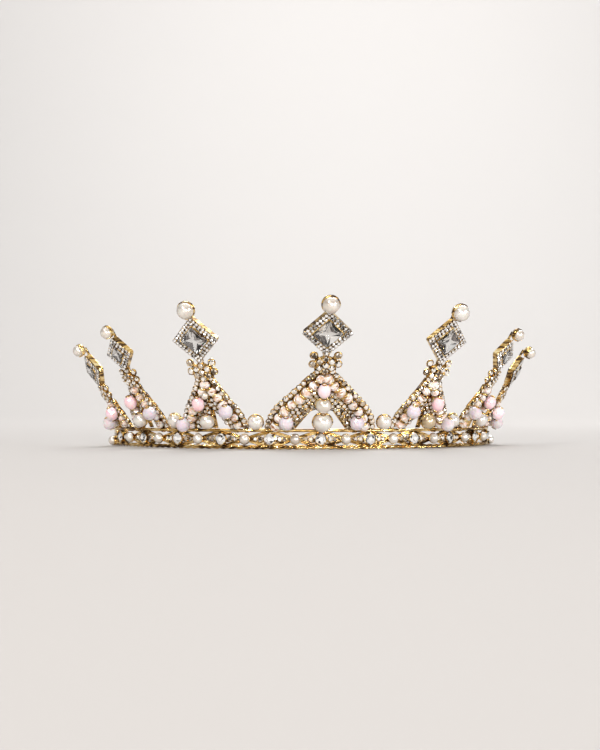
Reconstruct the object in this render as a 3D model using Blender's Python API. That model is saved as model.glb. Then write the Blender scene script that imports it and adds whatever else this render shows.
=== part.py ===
# Bridal crown: a gold-toned open tiara with seven prongs, halo-set square
# stones, glass beads and pearls.
# Lengths are metres and angles degrees. The crown stands on its band, its front
# towards -Y, +Z up. Places on it are given by arc along the band from the front,
# by height up a leaning prong, and outward from the band's mid-line.

import math

import bmesh
import bpy
import numpy as np
from mathutils import Matrix, Vector

for item in list(bpy.data.objects):
    bpy.data.objects.remove(item, do_unlink=True)

# The band's plan is half an ellipse that runs on behind the widest point
CROWN_WIDTH = 0.140
FRONT_DEPTH = 0.0657
BAND_ARC = 0.0925
BAND_HEIGHT = 0.0068
BAND_THICK = 0.0012
RAIL_HEIGHT = 0.0011
WAVE_WIRE = 0.0008
END_PLATE = 0.0042
STONE_PITCH = 0.01642
BAND_STONE = 0.0042
BAND_PEARL = 0.0033
CLEARANCE = 0.0003

# The flat strip inside the band and the looped wires that tie the crown on
STRIP_HEIGHT = 0.0014
STRIP_THICK = 0.0008
STRIP_RISE = 0.0029
STRIP_GAP = 0.0008
STRIP_COLUMNS = 40
TIE_WIRE = 0.0012
TIE_LENGTH = 0.0215
TIE_TURN_IN = 0.0026
LOOP_LENGTH = 0.0095
LOOP_HEIGHT = 0.0052
LOOP_SIDES = 12

# The prongs: a pierced tent, a flower, a halo round the stone and a pearl cup
PRONG_THICK = 0.0012
ARM_HEIGHT = 0.0222
FOOT_WIDTH = 0.0360
NECK_WIDTH = 0.0056
LEAN = 28.0
NOTCH_WIDTH = 0.0165
NOTCH_HEIGHT = 0.0078
FLOWER_WIDTH = 0.0098
FLOWER_THICK = 0.0018
PETAL = 0.0031
LARGE_HALO = 0.0112
SMALL_HALO = 0.0088
HALO_BORDER = 0.0019
HALO_THICK = 0.0024
STONE_RISE = 0.0018
TIP_CUP = 0.0030
TIP_POST = 0.0016
TENT_COLUMNS = 7

# Pearls and glass beads
FRONT_TIP_PEARL = 0.0054
SIDE_TIP_PEARL = 0.0040
BIG_PEARL = 0.0063
PEARL = 0.0049
OPAL = 0.0047
PINK_WIDE = 0.0041
PINK_TALL = 0.0050
BEAD_SEAT = 0.0014
BEAD_SIDES = 10

GOLD = ("gold metal", (0.83, 0.61, 0.28), 0.22, 1.0, 0.0)
CRYSTAL = ("clear crystal", (0.93, 0.94, 0.96), 0.04, 0.0, 0.6)
IVORY = ("ivory pearl", (0.93, 0.87, 0.78), 0.18, 0.0, 0.0)
ROSE = ("pink glass", (0.95, 0.74, 0.78), 0.12, 0.0, 0.2)
MILK = ("opal glass", (0.93, 0.92, 0.95), 0.10, 0.0, 0.3)

# Prongs from the front to the ends: the place along half the band, then the arms'
# height, the foot and the lean as shares of the named sizes, the halo and the pearl
PRONGS = (
    {"name": "front", "place": 0.0, "arm": 1.0, "foot": 1.0, "lean": 1.14, "halo": LARGE_HALO},
    {"name": "inner", "place": 0.377, "arm": 0.84, "foot": 0.64, "lean": 0.96, "halo": LARGE_HALO},
    {"name": "outer", "place": 0.672, "arm": 0.74, "foot": 0.50, "lean": 0.98, "halo": SMALL_HALO},
    {"name": "end", "place": 0.885, "arm": 0.48, "foot": 0.42, "lean": 0.97, "halo": SMALL_HALO},
)
SIDES = {"left": -1, "right": 1}

# Half of a tent's outline as shares of half its foot and of its arms' height
TENT = (
    {"across": 1.0, "up": 0.0},
    {"across": 0.98, "up": 0.17},
    {"across": 0.86, "up": 0.38},
    {"across": 0.64, "up": 0.57},
    {"across": 0.43, "up": 0.76},
)

# Beads in front of each prong, as shares of half its foot, positive towards the
# crown's ends, and of its arms' height
BEADS = {
    "front": (
        {"name": "opal_left", "kind": "opal", "across": -0.62, "up": 0.17},
        {"name": "opal_right", "kind": "opal", "across": 0.62, "up": 0.17},
    ),
    "inner": (
        {"name": "pearl", "kind": "pearl", "across": 0.08, "up": 0.21},
        {"name": "pink", "kind": "pink", "across": 0.26, "up": 0.54},
        {"name": "opal", "kind": "opal", "across": -0.52, "up": 0.40},
    ),
    "outer": (
        {"name": "pearl", "kind": "pearl", "across": 0.02, "up": 0.27},
        {"name": "pink", "kind": "pink", "across": 0.24, "up": 0.66},
        {"name": "opal", "kind": "opal", "across": -0.62, "up": 0.42},
    ),
    "end": (
        {"name": "opal", "kind": "opal", "across": 0.46, "up": 0.26},
        {"name": "pink", "kind": "pink", "across": -0.32, "up": 0.60},
    ),
}

# Plan of the band, walked once at fine steps to get arc length
turns = np.linspace(-1.1 * math.pi, 1.1 * math.pi, 4401)
planX = 0.5 * CROWN_WIDTH * np.sin(turns)
planY = -FRONT_DEPTH * np.cos(turns)
steps = np.hypot(np.diff(planX), np.diff(planY))
arcs = np.concatenate(([0.0], np.cumsum(steps)))
arcs = arcs - np.interp(0.0, turns, arcs)

partsFolder = bpy.data.collections.new("bridal_crown")
cutterFolder = bpy.data.collections.new("cutters")
bpy.context.scene.collection.children.link(partsFolder)
bpy.context.scene.collection.children.link(cutterFolder)


def station(arc):
    """Point on the band's mid-line, the direction along it and outward."""
    turn = float(np.interp(arc, arcs, turns))
    half = 0.5 * CROWN_WIDTH
    point = Vector((half * math.sin(turn), -FRONT_DEPTH * math.cos(turn), 0.0))
    along = Vector((half * math.cos(turn), FRONT_DEPTH * math.sin(turn), 0.0)).normalized()
    outward = Vector((along.y, -along.x, 0.0))
    return point, along, outward


def bendRadius(arc):
    """Radius of the plan's curve at an arc length."""
    turn = float(np.interp(arc, arcs, turns))
    half = 0.5 * CROWN_WIDTH
    speed = math.hypot(half * math.cos(turn), FRONT_DEPTH * math.sin(turn))
    return speed ** 3 / (half * FRONT_DEPTH)


def onBand(arc, up, out):
    """Place on the upright band."""
    point, along, outward = station(arc)
    return point + outward * out + Vector((0.0, 0.0, up))


def onProng(prong, across, up, out):
    """Place on a prong, wrapped round the band's curve and leaning outward."""
    lean = math.radians(prong["lean"])
    reach = up * math.sin(lean) + out * math.cos(lean)
    rise = up * math.cos(lean) - out * math.sin(lean)
    radius = bendRadius(prong["arc"])
    arc = prong["arc"] + across * radius / (radius + up * math.sin(lean))
    point, along, outward = station(arc)
    return point + outward * reach + Vector((0.0, 0.0, prong["base"] + rise))


def prongFrame(prong, across, up, out):
    """Matrix at a place on a prong: X across, Y up the prong, Z outward."""
    lean = math.radians(prong["lean"])
    radius = bendRadius(prong["arc"])
    arc = prong["arc"] + across * radius / (radius + up * math.sin(lean))
    point, along, outward = station(arc)
    upward = Vector((0.0, 0.0, 1.0))
    rising = upward * math.cos(lean) + outward * math.sin(lean)
    facing = outward * math.cos(lean) - upward * math.sin(lean)
    frame = Matrix((along, rising, facing)).transposed().to_4x4()
    frame.translation = onProng(prong, across, up, out)
    return frame


def bandFrame(arc, up, out):
    """Matrix at a place on the band: X along, Y up, Z outward."""
    point, along, outward = station(arc)
    frame = Matrix((along, Vector((0.0, 0.0, 1.0)), outward)).transposed().to_4x4()
    frame.translation = onBand(arc, up, out)
    return frame


def finish(item, look, smooth):
    """Give an object its own material and put it with the parts."""
    name, colour, roughness, metallic, transmission = look
    material = bpy.data.materials.new(item.name + " " + name)
    material.use_nodes = True
    shader = material.node_tree.nodes["Principled BSDF"]
    shader.inputs["Base Color"].default_value = colour + (1.0,)
    shader.inputs["Roughness"].default_value = roughness
    shader.inputs["Metallic"].default_value = metallic
    shader.inputs["Transmission Weight"].default_value = transmission
    item.data.materials.clear()
    item.data.materials.append(material)
    if smooth:
        item.data.shade_smooth()
        item.data.set_sharp_from_angle(angle=math.radians(40.0))
    return item


def addMesh(name, shape, folder):
    """Object from a bmesh, which is freed."""
    mesh = bpy.data.meshes.new(name)
    shape.normal_update()
    shape.to_mesh(mesh)
    shape.free()
    item = bpy.data.objects.new(name, mesh)
    folder.objects.link(item)
    return item


def plateShape(outline, thick):
    """Flat plate from a filled 2D curve, as a welded bmesh."""
    curve = bpy.data.curves.new("plate", "CURVE")
    curve.dimensions = "2D"
    curve.fill_mode = "BOTH"
    curve.extrude = 0.5 * thick
    spline = curve.splines.new("POLY")
    spline.points.add(len(outline) - 1)
    for point, (x, y) in zip(spline.points, outline):
        point.co = (x, y, 0.0, 1.0)
    spline.use_cyclic_u = True
    guide = bpy.data.objects.new("plate", curve)
    cutterFolder.objects.link(guide)
    seen = guide.evaluated_get(bpy.context.evaluated_depsgraph_get())
    mesh = bpy.data.meshes.new_from_object(seen)
    shape = bmesh.new()
    shape.from_mesh(mesh)
    bpy.data.objects.remove(guide, do_unlink=True)
    bpy.data.curves.remove(curve)
    bpy.data.meshes.remove(mesh)
    bmesh.ops.remove_doubles(shape, verts=shape.verts, dist=0.000002)
    bmesh.ops.recalc_face_normals(shape, faces=shape.faces)
    return shape


def ruleAcross(shape, half, count):
    """Split a flat plate along upright lines, so that it bends smoothly."""
    for step in range(1, count):
        place = Vector((-half + 2.0 * half * step / count, 0.0, 0.0))
        geometry = shape.verts[:] + shape.edges[:] + shape.faces[:]
        bmesh.ops.bisect_plane(shape, geom=geometry, dist=0.000002, plane_co=place, plane_no=(1.0, 0.0, 0.0))
    spare = []
    for edge in shape.edges:
        upright = abs(edge.verts[0].co.x - edge.verts[1].co.x) < 0.00001
        if not upright and all(abs(face.normal.z) > 0.9 for face in edge.link_faces):
            spare.append(edge)
    bmesh.ops.dissolve_edges(shape, edges=spare, use_verts=True)


def ball(sides, rings, wide, tall, frame):
    """Round bead whose poles point up and down its frame."""
    shape = bmesh.new()
    bmesh.ops.create_uvsphere(shape, u_segments=sides, v_segments=rings, radius=0.5)
    size = Matrix.Diagonal((wide, tall, wide, 1.0))
    tip = Matrix.Rotation(math.radians(90.0), 4, "X")
    bmesh.ops.transform(shape, matrix=frame @ size @ tip, verts=shape.verts)
    return shape


def frustum(sides, wide, narrow, depth, turn, frame):
    """Straight-sided cone cut off flat, standing on its frame's XY plane."""
    shape = bmesh.new()
    bmesh.ops.create_cone(
        shape, segments=sides, radius1=0.5 * wide, radius2=0.5 * narrow, depth=depth, cap_ends=True
    )
    lift = Matrix.Translation((0.0, 0.0, 0.5 * depth)) @ Matrix.Rotation(math.radians(turn), 4, "Z")
    bmesh.ops.transform(shape, matrix=frame @ lift, verts=shape.verts)
    return shape


def gather(shapes):
    """One bmesh that holds several."""
    whole = bmesh.new()
    for shape in shapes:
        mesh = bpy.data.meshes.new("gathered")
        bmesh.ops.triangulate(shape, faces=shape.faces)
        shape.to_mesh(mesh)
        shape.free()
        whole.from_mesh(mesh)
        bpy.data.meshes.remove(mesh)
    return whole


def combine(item, shapes, operation):
    """Cut shapes from an object or solder them on, and keep the result."""
    other = addMesh(item.name + "_other", gather(shapes), cutterFolder)
    join = item.modifiers.new("join", "BOOLEAN")
    join.operation = operation
    join.solver = "EXACT"
    join.use_self = operation == "UNION"
    join.object = other
    seen = item.evaluated_get(bpy.context.evaluated_depsgraph_get())
    mesh = bpy.data.meshes.new_from_object(seen)
    item.modifiers.clear()
    bpy.data.objects.remove(other, do_unlink=True)
    shape = bmesh.new()
    shape.from_mesh(mesh)
    bmesh.ops.triangulate(shape, faces=shape.faces)
    shape.to_mesh(mesh)
    shape.free()
    item.data = mesh


def ruledBar(wide, tall, thick, columns):
    """Flat bar with a ring of edges at every column, ready to be bent."""
    shape = bmesh.new()
    bmesh.ops.create_cube(shape, size=1.0)
    bmesh.ops.transform(shape, matrix=Matrix.Diagonal((wide, tall, thick, 1.0)), verts=shape.verts)
    long = [edge for edge in shape.edges if abs(edge.verts[0].co.x - edge.verts[1].co.x) > 0.5 * wide]
    bmesh.ops.subdivide_edges(shape, edges=long, cuts=columns - 1, use_grid_fill=True)
    return shape


def cutStone(name, wide, turn, frame):
    """Square stone on its corner: a table, eight crown facets and a girdle."""
    half = 0.5 * wide
    shape = bmesh.new()
    bmesh.ops.create_cube(shape, size=1.0)
    size = Matrix.Diagonal((wide, wide, STONE_RISE, 1.0))
    bmesh.ops.transform(shape, matrix=size, verts=shape.verts)
    corners = [edge for edge in shape.edges if abs(edge.verts[0].co.z - edge.verts[1].co.z) > 0.0005]
    bmesh.ops.bevel(shape, geom=corners, offset=0.22 * half, segments=1, affect="EDGES")
    table = [edge for edge in shape.edges if min(vert.co.z for vert in edge.verts) > 0.0]
    bmesh.ops.bevel(shape, geom=table, offset=0.36 * half, offset_type="WIDTH", segments=1, affect="EDGES")
    bmesh.ops.remove_doubles(shape, verts=shape.verts, dist=0.000002)
    lift = Matrix.Translation((0.0, 0.0, 0.5 * STONE_RISE)) @ Matrix.Rotation(math.radians(turn), 4, "Z")
    bmesh.ops.transform(shape, matrix=frame @ lift, verts=shape.verts)
    return finish(addMesh(name, shape, partsFolder), CRYSTAL, False)


def band():
    """Two rails with crossing waves between, round stones in the eyes and pearls
    at the crossings, closed at each end by a plate, all one soldered solid."""
    middle = 0.5 * BAND_HEIGHT
    swing = middle - RAIL_HEIGHT
    openArc = BAND_ARC - END_PLATE
    columns = 2 * round(openArc / (0.25 * STONE_PITCH))
    gaps = []
    count = int(openArc / (0.5 * STONE_PITCH))
    for index in range(-count, count + 1):
        arc = 0.5 * STONE_PITCH * index
        if index % 2 == 0:
            gaps.extend(eyeGaps(arc, middle, swing, openArc))
        elif abs(arc) + 0.25 * STONE_PITCH < openArc:
            gaps.extend(crossingGaps(arc, middle, swing))
    shape = ruledBar(2.0 * BAND_ARC, BAND_HEIGHT, BAND_THICK, columns)
    for vert in shape.verts:
        vert.co = onBand(vert.co.x, vert.co.y + middle, vert.co.z)
    item = addMesh("band", shape, partsFolder)
    cutters = [plateShape(gap, 4.0 * BAND_THICK) for gap in gaps]
    for cutter in cutters:
        for vert in cutter.verts:
            vert.co = onBand(vert.co.x, vert.co.y, vert.co.z)
    combine(item, cutters, "DIFFERENCE")
    stones = []
    for index in range(-count, count + 1):
        arc = 0.5 * STONE_PITCH * index
        if index % 2 == 0:
            frame = bandFrame(arc, middle, 0.1 * BAND_THICK)
            stones.append(frustum(8, BAND_STONE, 0.56 * BAND_STONE, 0.4 * BAND_STONE, 22.5, frame))
        else:
            frame = bandFrame(arc, middle, 0.5 * BAND_THICK + 0.25 * BAND_PEARL)
            stones.append(ball(BEAD_SIDES, 6, BAND_PEARL, BAND_PEARL, frame))
    for side in (-1, 1):
        arc = side * (BAND_ARC - 0.3 * END_PLATE)
        frame = bandFrame(arc, 0.55 * BAND_PEARL, 0.5 * BAND_THICK + 0.25 * BAND_PEARL)
        stones.append(ball(BEAD_SIDES, 6, BAND_PEARL, BAND_PEARL, frame))
    combine(item, stones, "UNION")
    finish(item, GOLD, False)


def wave(arc, swing):
    """Height of the upper wave over the band's middle."""
    return swing * abs(math.cos(math.pi * arc / STONE_PITCH))


def eyeGaps(arc, middle, swing, openArc):
    """Gaps in the two corners of an eye, beside its stone."""
    gaps = []
    near = 0.5 * BAND_STONE + 0.5 * WAVE_WIRE
    far = 0.5 * STONE_PITCH - 0.5 * BAND_PEARL - 0.5 * WAVE_WIRE
    for side in (-1, 1):
        if abs(arc + side * far) > openArc:
            continue
        reach = [near + (far - near) * step / 2.0 for step in range(3)]
        half = [max(wave(along, swing) - 0.5 * WAVE_WIRE, 0.25 * WAVE_WIRE) for along in reach]
        top = [(arc + side * along, middle + up) for along, up in zip(reach, half)]
        bottom = [(arc + side * along, middle - up) for along, up in zip(reach, half)]
        gaps.append(top + bottom[::-1])
    return gaps


def crossingGaps(arc, middle, swing):
    """Gaps between the waves and the rails, over and under a crossing."""
    gaps = []
    meet = math.acos(1.0 - 0.5 * WAVE_WIRE / swing) / math.pi
    half = 0.95 * (0.5 - meet) * STONE_PITCH
    beside = 0.5 * BAND_PEARL + 0.5 * WAVE_WIRE
    low = wave(0.5 * STONE_PITCH - beside, swing) + 0.6 * WAVE_WIRE
    over = 0.4 * BAND_PEARL
    for side in (-1, 1):
        edge = middle + side * swing
        points = [(arc - half, edge), (arc - beside, middle + side * low)]
        points.append((arc - over, middle + side * 0.5 * BAND_PEARL))
        points.append((arc + over, middle + side * 0.5 * BAND_PEARL))
        points.append((arc + beside, middle + side * low))
        points.append((arc + half, edge))
        gaps.append(points)
    return gaps


def strip():
    """Flat strip inside the band, which the end wires are bound to."""
    out = -0.5 * BAND_THICK - STRIP_GAP - 0.5 * STRIP_THICK
    reach = BAND_ARC - 0.5 * END_PLATE
    shape = ruledBar(2.0 * reach, STRIP_HEIGHT, STRIP_THICK, STRIP_COLUMNS)
    for vert in shape.verts:
        vert.co = onBand(vert.co.x, vert.co.y + STRIP_RISE, vert.co.z + out)
    finish(addMesh("inner_strip", shape, partsFolder), GOLD, False)


def tieWire(name, side):
    """Wire that runs on from the strip and ends in a flat oval loop."""
    start = BAND_ARC - 0.5 * END_PLATE + CLEARANCE
    out = -0.5 * BAND_THICK - STRIP_GAP - 0.5 * STRIP_THICK
    route = []
    for step in range(6):
        share = step / 5.0
        arc = start + share * (TIE_LENGTH - LOOP_LENGTH)
        route.append(onBand(side * arc, STRIP_RISE, out - TIE_TURN_IN * share * share))
    centreArc = start + TIE_LENGTH - 0.5 * LOOP_LENGTH + 0.5 * TIE_WIRE
    for step in range(LOOP_SIDES):
        turn = math.pi - 2.0 * math.pi * (step + 0.5) / LOOP_SIDES
        arc = centreArc + 0.5 * (LOOP_LENGTH - TIE_WIRE) * math.cos(turn)
        up = STRIP_RISE + 0.5 * (LOOP_HEIGHT - TIE_WIRE) * math.sin(turn)
        route.append(onBand(side * arc, up, out - TIE_TURN_IN))
    curve = bpy.data.curves.new(name, "CURVE")
    curve.dimensions = "3D"
    curve.bevel_depth = 0.5 * TIE_WIRE
    curve.bevel_resolution = 1
    curve.use_fill_caps = True
    spline = curve.splines.new("POLY")
    spline.points.add(len(route) - 1)
    for point, place in zip(spline.points, route):
        point.co = (place.x, place.y, place.z, 1.0)
    item = bpy.data.objects.new(name, curve)
    partsFolder.objects.link(item)
    finish(item, GOLD, False)


def tentOutline(prong):
    """Outline of the pierced tent with a notch on each side of the middle post."""
    tall = prong["arm"]
    middle = 0.5 * PRONG_THICK
    reach = prong["halfNotch"]
    top = prong["notch"]
    right = [(row["across"] * prong["halfFoot"], row["up"] * tall) for row in TENT]
    right.append((0.5 * NECK_WIDTH, tall))
    notch = [(middle, 0.0), (middle, top), (0.45 * reach, 0.85 * top), (reach, 0.0)]
    left = [(-across, up) for across, up in reversed(right)]
    return notch + right + left + [(-across, up) for across, up in reversed(notch)]


def prongMetal(prong):
    """Tent, flower, halo and tip cup of one prong as one soldered solid."""
    shape = plateShape(tentOutline(prong), PRONG_THICK)
    ruleAcross(shape, prong["halfFoot"], TENT_COLUMNS)
    for vert in shape.verts:
        vert.co = onProng(prong, vert.co.x, vert.co.y, vert.co.z)
    item = addMesh("prong_" + prong["name"], shape, partsFolder)
    solder = []
    flower = prongFrame(prong, 0.0, prong["flower"], 0.0)
    base = flower @ Matrix.Translation((0.0, 0.0, -0.55 * PRONG_THICK))
    solder.append(frustum(12, FLOWER_WIDTH, FLOWER_WIDTH, 1.2 * PRONG_THICK, 0.0, base))
    ring = 0.5 * FLOWER_WIDTH - 0.5 * PETAL
    for petal in range(7):
        turn = math.radians(60.0 * petal)
        away = 0.0 if petal == 6 else ring
        seat = Matrix.Translation((away * math.cos(turn), away * math.sin(turn), 0.0))
        solder.append(frustum(6, PETAL, 0.5 * PETAL, FLOWER_THICK, 60.0 * petal + 30.0, flower @ seat))
    halo = prongFrame(prong, 0.0, prong["stone"], 0.0)
    solder.append(haloPlate(prong["halo"], halo))
    cup = prongFrame(prong, 0.0, prong["tip"], 0.0)
    foot = prong["stone"] + 0.85 * prong["diagonal"]
    solder.append(post(foot, prong["tip"], prongFrame(prong, 0.0, 0.0, 0.0)))
    disc = cup @ Matrix.Translation((0.0, 0.0, -0.5 * PRONG_THICK))
    solder.append(frustum(10, TIP_CUP, TIP_CUP, PRONG_THICK, 0.0, disc))
    combine(item, solder, "UNION")
    finish(item, GOLD, False)


def post(start, end, frame):
    """Short square post up the middle of a prong, from the halo to the cup."""
    shape = bmesh.new()
    bmesh.ops.create_cube(shape, size=1.0)
    size = Matrix.Diagonal((TIP_POST, end - start, 0.8 * PRONG_THICK, 1.0))
    place = frame @ Matrix.Translation((0.0, 0.5 * (start + end), 0.0))
    bmesh.ops.transform(shape, matrix=place @ size, verts=shape.verts)
    return shape


def haloPlate(side, frame):
    """Square tray standing on its corner, with a raised border."""
    shape = bmesh.new()
    bmesh.ops.create_cube(shape, size=1.0)
    depth = 0.5 * PRONG_THICK + HALO_THICK
    size = Matrix.Diagonal((side, side, depth, 1.0))
    lift = Matrix.Translation((0.0, 0.0, 0.5 * depth - 0.52 * PRONG_THICK))
    bmesh.ops.transform(shape, matrix=lift @ size, verts=shape.verts)
    front = [face for face in shape.faces if face.normal.z > 0.9]
    bmesh.ops.inset_region(shape, faces=front, thickness=HALO_BORDER)
    sink = Vector((0.0, 0.0, 0.5 * PRONG_THICK - HALO_THICK))
    bmesh.ops.translate(shape, vec=sink, verts=front[0].verts)
    turn = Matrix.Rotation(math.radians(45.0), 4, "Z")
    bmesh.ops.transform(shape, matrix=frame @ turn, verts=shape.verts)
    return shape


def stoneAndTip(prong):
    """The prong's square stone in its halo and the pearl in front of its cup."""
    inside = prong["halo"] - 2.0 * HALO_BORDER - 2.0 * CLEARANCE
    rise = 0.48 * PRONG_THICK + 0.5 * PRONG_THICK + CLEARANCE
    frame = prongFrame(prong, 0.0, prong["stone"], rise)
    cutStone("stone_" + prong["name"], inside, 45.0, frame)
    pearl = prong["pearl"]
    place = prongFrame(prong, 0.0, prong["tip"], 0.5 * PRONG_THICK + CLEARANCE + 0.5 * pearl)
    shape = ball(12, 8, pearl, pearl, place)
    finish(addMesh("tip_pearl_" + prong["name"], shape, partsFolder), IVORY, True)


def beadOnProng(name, kind, prong, across, up):
    """Bead in front of a prong's metal, clear of it by the clearance."""
    wide, tall, sides, rings, look = BEAD_KINDS[kind]
    out = 0.5 * PRONG_THICK + CLEARANCE + 0.5 * wide
    shape = ball(sides, rings, wide, tall, prongFrame(prong, across, up, out))
    finish(addMesh(name, shape, partsFolder), look, True)


def prongBeads(prong):
    """Beads and pearls in front of one prong."""
    for row in BEADS[prong["row"]]:
        across = row["across"] * prong["halfFoot"]
        if prong["arc"] < 0.0:
            across = -across
        beadOnProng(row["name"] + "_" + prong["name"], row["kind"], prong, across, row["up"] * prong["arm"])


def frontPearls(prong):
    """Big pearl, pearl and pink bead, one over the other up the front prong."""
    low = BEAD_SEAT + 0.5 * BIG_PEARL
    middle = low + 0.5 * BIG_PEARL + 0.5 * PEARL + CLEARANCE
    high = middle + 0.5 * PEARL + 0.5 * PINK_TALL + CLEARANCE
    beadOnProng("big_pearl_front", "big_pearl", prong, 0.0, low)
    beadOnProng("pearl_front", "pearl", prong, 0.0, middle)
    beadOnProng("pink_front", "pink", prong, 0.0, high)


def saddle(inner, outer):
    """The dip between two prongs, and where a pearl nestles between their feet."""
    side = 1.0 if outer["arc"] > 0.0 else -1.0
    start = abs(inner["arc"]) + inner["halfFoot"]
    end = abs(outer["arc"]) - outer["halfFoot"]
    nearest = 0.5 * (end - start)
    touch = 0.5 * PEARL + CLEARANCE
    out = 0.5 * PRONG_THICK + math.sqrt(max(touch * touch - nearest * nearest, 0.0))
    lean = 0.5 * (inner["lean"] + outer["lean"])
    place = {"arc": side * 0.5 * (start + end), "lean": lean, "base": inner["base"]}
    return place, side, out


def saddlePearl(inner, outer):
    """Pearl over the rail between two prongs."""
    place, side, out = saddle(inner, outer)
    frame = prongFrame(place, 0.0, CLEARANCE + 0.5 * PEARL, out)
    shape = ball(BEAD_SIDES, 6, PEARL, PEARL, frame)
    finish(addMesh("saddle_pearl_" + outer["name"], shape, partsFolder), IVORY, True)


def saddleOpal(inner, outer):
    """Opal bead beside a saddle's pearl, in front of the inner prong's foot."""
    place, side, pearlOut = saddle(inner, outer)
    out = 0.5 * PRONG_THICK + CLEARANCE + 0.5 * OPAL
    across = -side * (0.5 * PEARL + 0.5 * OPAL + CLEARANCE)
    frame = prongFrame(place, across, CLEARANCE + 0.5 * OPAL, out)
    shape = ball(BEAD_SIDES, 6, OPAL, OPAL, frame)
    finish(addMesh("saddle_opal_" + outer["name"], shape, partsFolder), MILK, True)


def fillIn(row, word, side):
    """Turn a row of the prong table into the sizes and heights of one prong."""
    prong = dict(row)
    prong["row"] = row["name"]
    prong["name"] = word
    prong["arc"] = side * row["place"] * BAND_ARC
    prong["lean"] = row["lean"] * LEAN
    prong["base"] = BAND_HEIGHT + CLEARANCE
    prong["halfFoot"] = 0.5 * FOOT_WIDTH * row["foot"]
    prong["halfNotch"] = 0.5 * NOTCH_WIDTH * row["foot"]
    prong["notch"] = NOTCH_HEIGHT * row["arm"]
    prong["arm"] = row["arm"] * ARM_HEIGHT
    prong["diagonal"] = row["halo"] * math.sqrt(0.5)
    prong["flower"] = prong["arm"] + 0.32 * FLOWER_WIDTH
    prong["stone"] = prong["flower"] + 0.25 * FLOWER_WIDTH + prong["diagonal"]
    prong["pearl"] = FRONT_TIP_PEARL if row["halo"] == LARGE_HALO else SIDE_TIP_PEARL
    prong["tip"] = prong["stone"] + prong["diagonal"] + 0.5 * prong["pearl"] + CLEARANCE
    return prong


def standUp():
    """Parent every part to an empty that centres the crown over the origin."""
    bpy.context.view_layer.update()
    corners = []
    for item in partsFolder.objects:
        seen = item.evaluated_get(bpy.context.evaluated_depsgraph_get())
        mesh = seen.to_mesh()
        corners.extend(item.matrix_world @ vert.co for vert in mesh.vertices)
        seen.to_mesh_clear()
    low = [min(corner[axis] for corner in corners) for axis in range(3)]
    high = [max(corner[axis] for corner in corners) for axis in range(3)]
    base = bpy.data.objects.new("crown_base", None)
    base.location = (-0.5 * (low[0] + high[0]), -0.5 * (low[1] + high[1]), -low[2])
    for item in list(partsFolder.objects):
        item.parent = base
    partsFolder.objects.link(base)


BEAD_KINDS = {
    "big_pearl": (BIG_PEARL, BIG_PEARL, 12, 8, IVORY),
    "pearl": (PEARL, PEARL, BEAD_SIDES, 6, IVORY),
    "opal": (OPAL, OPAL, BEAD_SIDES, 6, MILK),
    "pink": (PINK_WIDE, PINK_TALL, BEAD_SIDES, 6, ROSE),
}

band()
strip()
prongs = {"front": fillIn(PRONGS[0], "front", 0)}
for word, side in SIDES.items():
    tieWire("tie_wire_" + word, side)
    for row in PRONGS[1:]:
        name = word + "_" + row["name"]
        prongs[name] = fillIn(row, name, side)
for prong in prongs.values():
    prongMetal(prong)
    stoneAndTip(prong)
    prongBeads(prong)
frontPearls(prongs["front"])
for word in SIDES:
    saddlePearl(prongs["front"], prongs[word + "_inner"])
    saddlePearl(prongs[word + "_inner"], prongs[word + "_outer"])
    saddleOpal(prongs[word + "_inner"], prongs[word + "_outer"])
standUp()
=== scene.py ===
import math
import random

import bmesh
import bpy
import numpy as np
from mathutils import Matrix, Vector


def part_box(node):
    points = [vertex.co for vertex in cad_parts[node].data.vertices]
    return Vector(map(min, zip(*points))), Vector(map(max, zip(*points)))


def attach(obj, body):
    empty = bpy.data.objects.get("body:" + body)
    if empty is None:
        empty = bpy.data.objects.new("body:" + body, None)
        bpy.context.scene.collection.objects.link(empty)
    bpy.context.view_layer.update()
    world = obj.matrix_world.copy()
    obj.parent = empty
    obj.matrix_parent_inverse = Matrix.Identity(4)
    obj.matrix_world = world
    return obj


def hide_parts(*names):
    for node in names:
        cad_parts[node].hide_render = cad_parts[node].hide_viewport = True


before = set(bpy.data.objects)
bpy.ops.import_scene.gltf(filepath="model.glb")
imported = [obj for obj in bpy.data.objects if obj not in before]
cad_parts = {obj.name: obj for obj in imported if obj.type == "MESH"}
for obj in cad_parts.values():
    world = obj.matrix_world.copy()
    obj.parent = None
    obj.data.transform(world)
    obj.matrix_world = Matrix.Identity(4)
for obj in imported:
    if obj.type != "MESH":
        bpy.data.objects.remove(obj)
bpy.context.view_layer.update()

scene = bpy.context.scene
upward = Vector((0.0, 0.0, 1.0))
print("bridal crown: the frame is loaded")

# Sizes of the metalwork, in metres and degrees, as the solids have them
crown = {
    "width": 0.140,
    "frontDepth": 0.0657,
    "bandArc": 0.0925,
    "bandHeight": 0.0068,
    "bandThick": 0.0012,
    "stonePitch": 0.01642,
    "endPlate": 0.0042,
    "stripGap": 0.0008,
    "clearance": 0.0003,
    "armHeight": 0.0222,
    "footWidth": 0.0360,
    "neckWidth": 0.0056,
    "notchWidth": 0.0165,
    "notchHeight": 0.0078,
    "flowerWidth": 0.0098,
    "prongThick": 0.0012,
    "lean": 28.0,
}
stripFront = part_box("inner_strip")[0].y
crown["middleY"] = stripFront + crown["frontDepth"] - 0.5 * crown["bandThick"] - crown["stripGap"]

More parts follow.
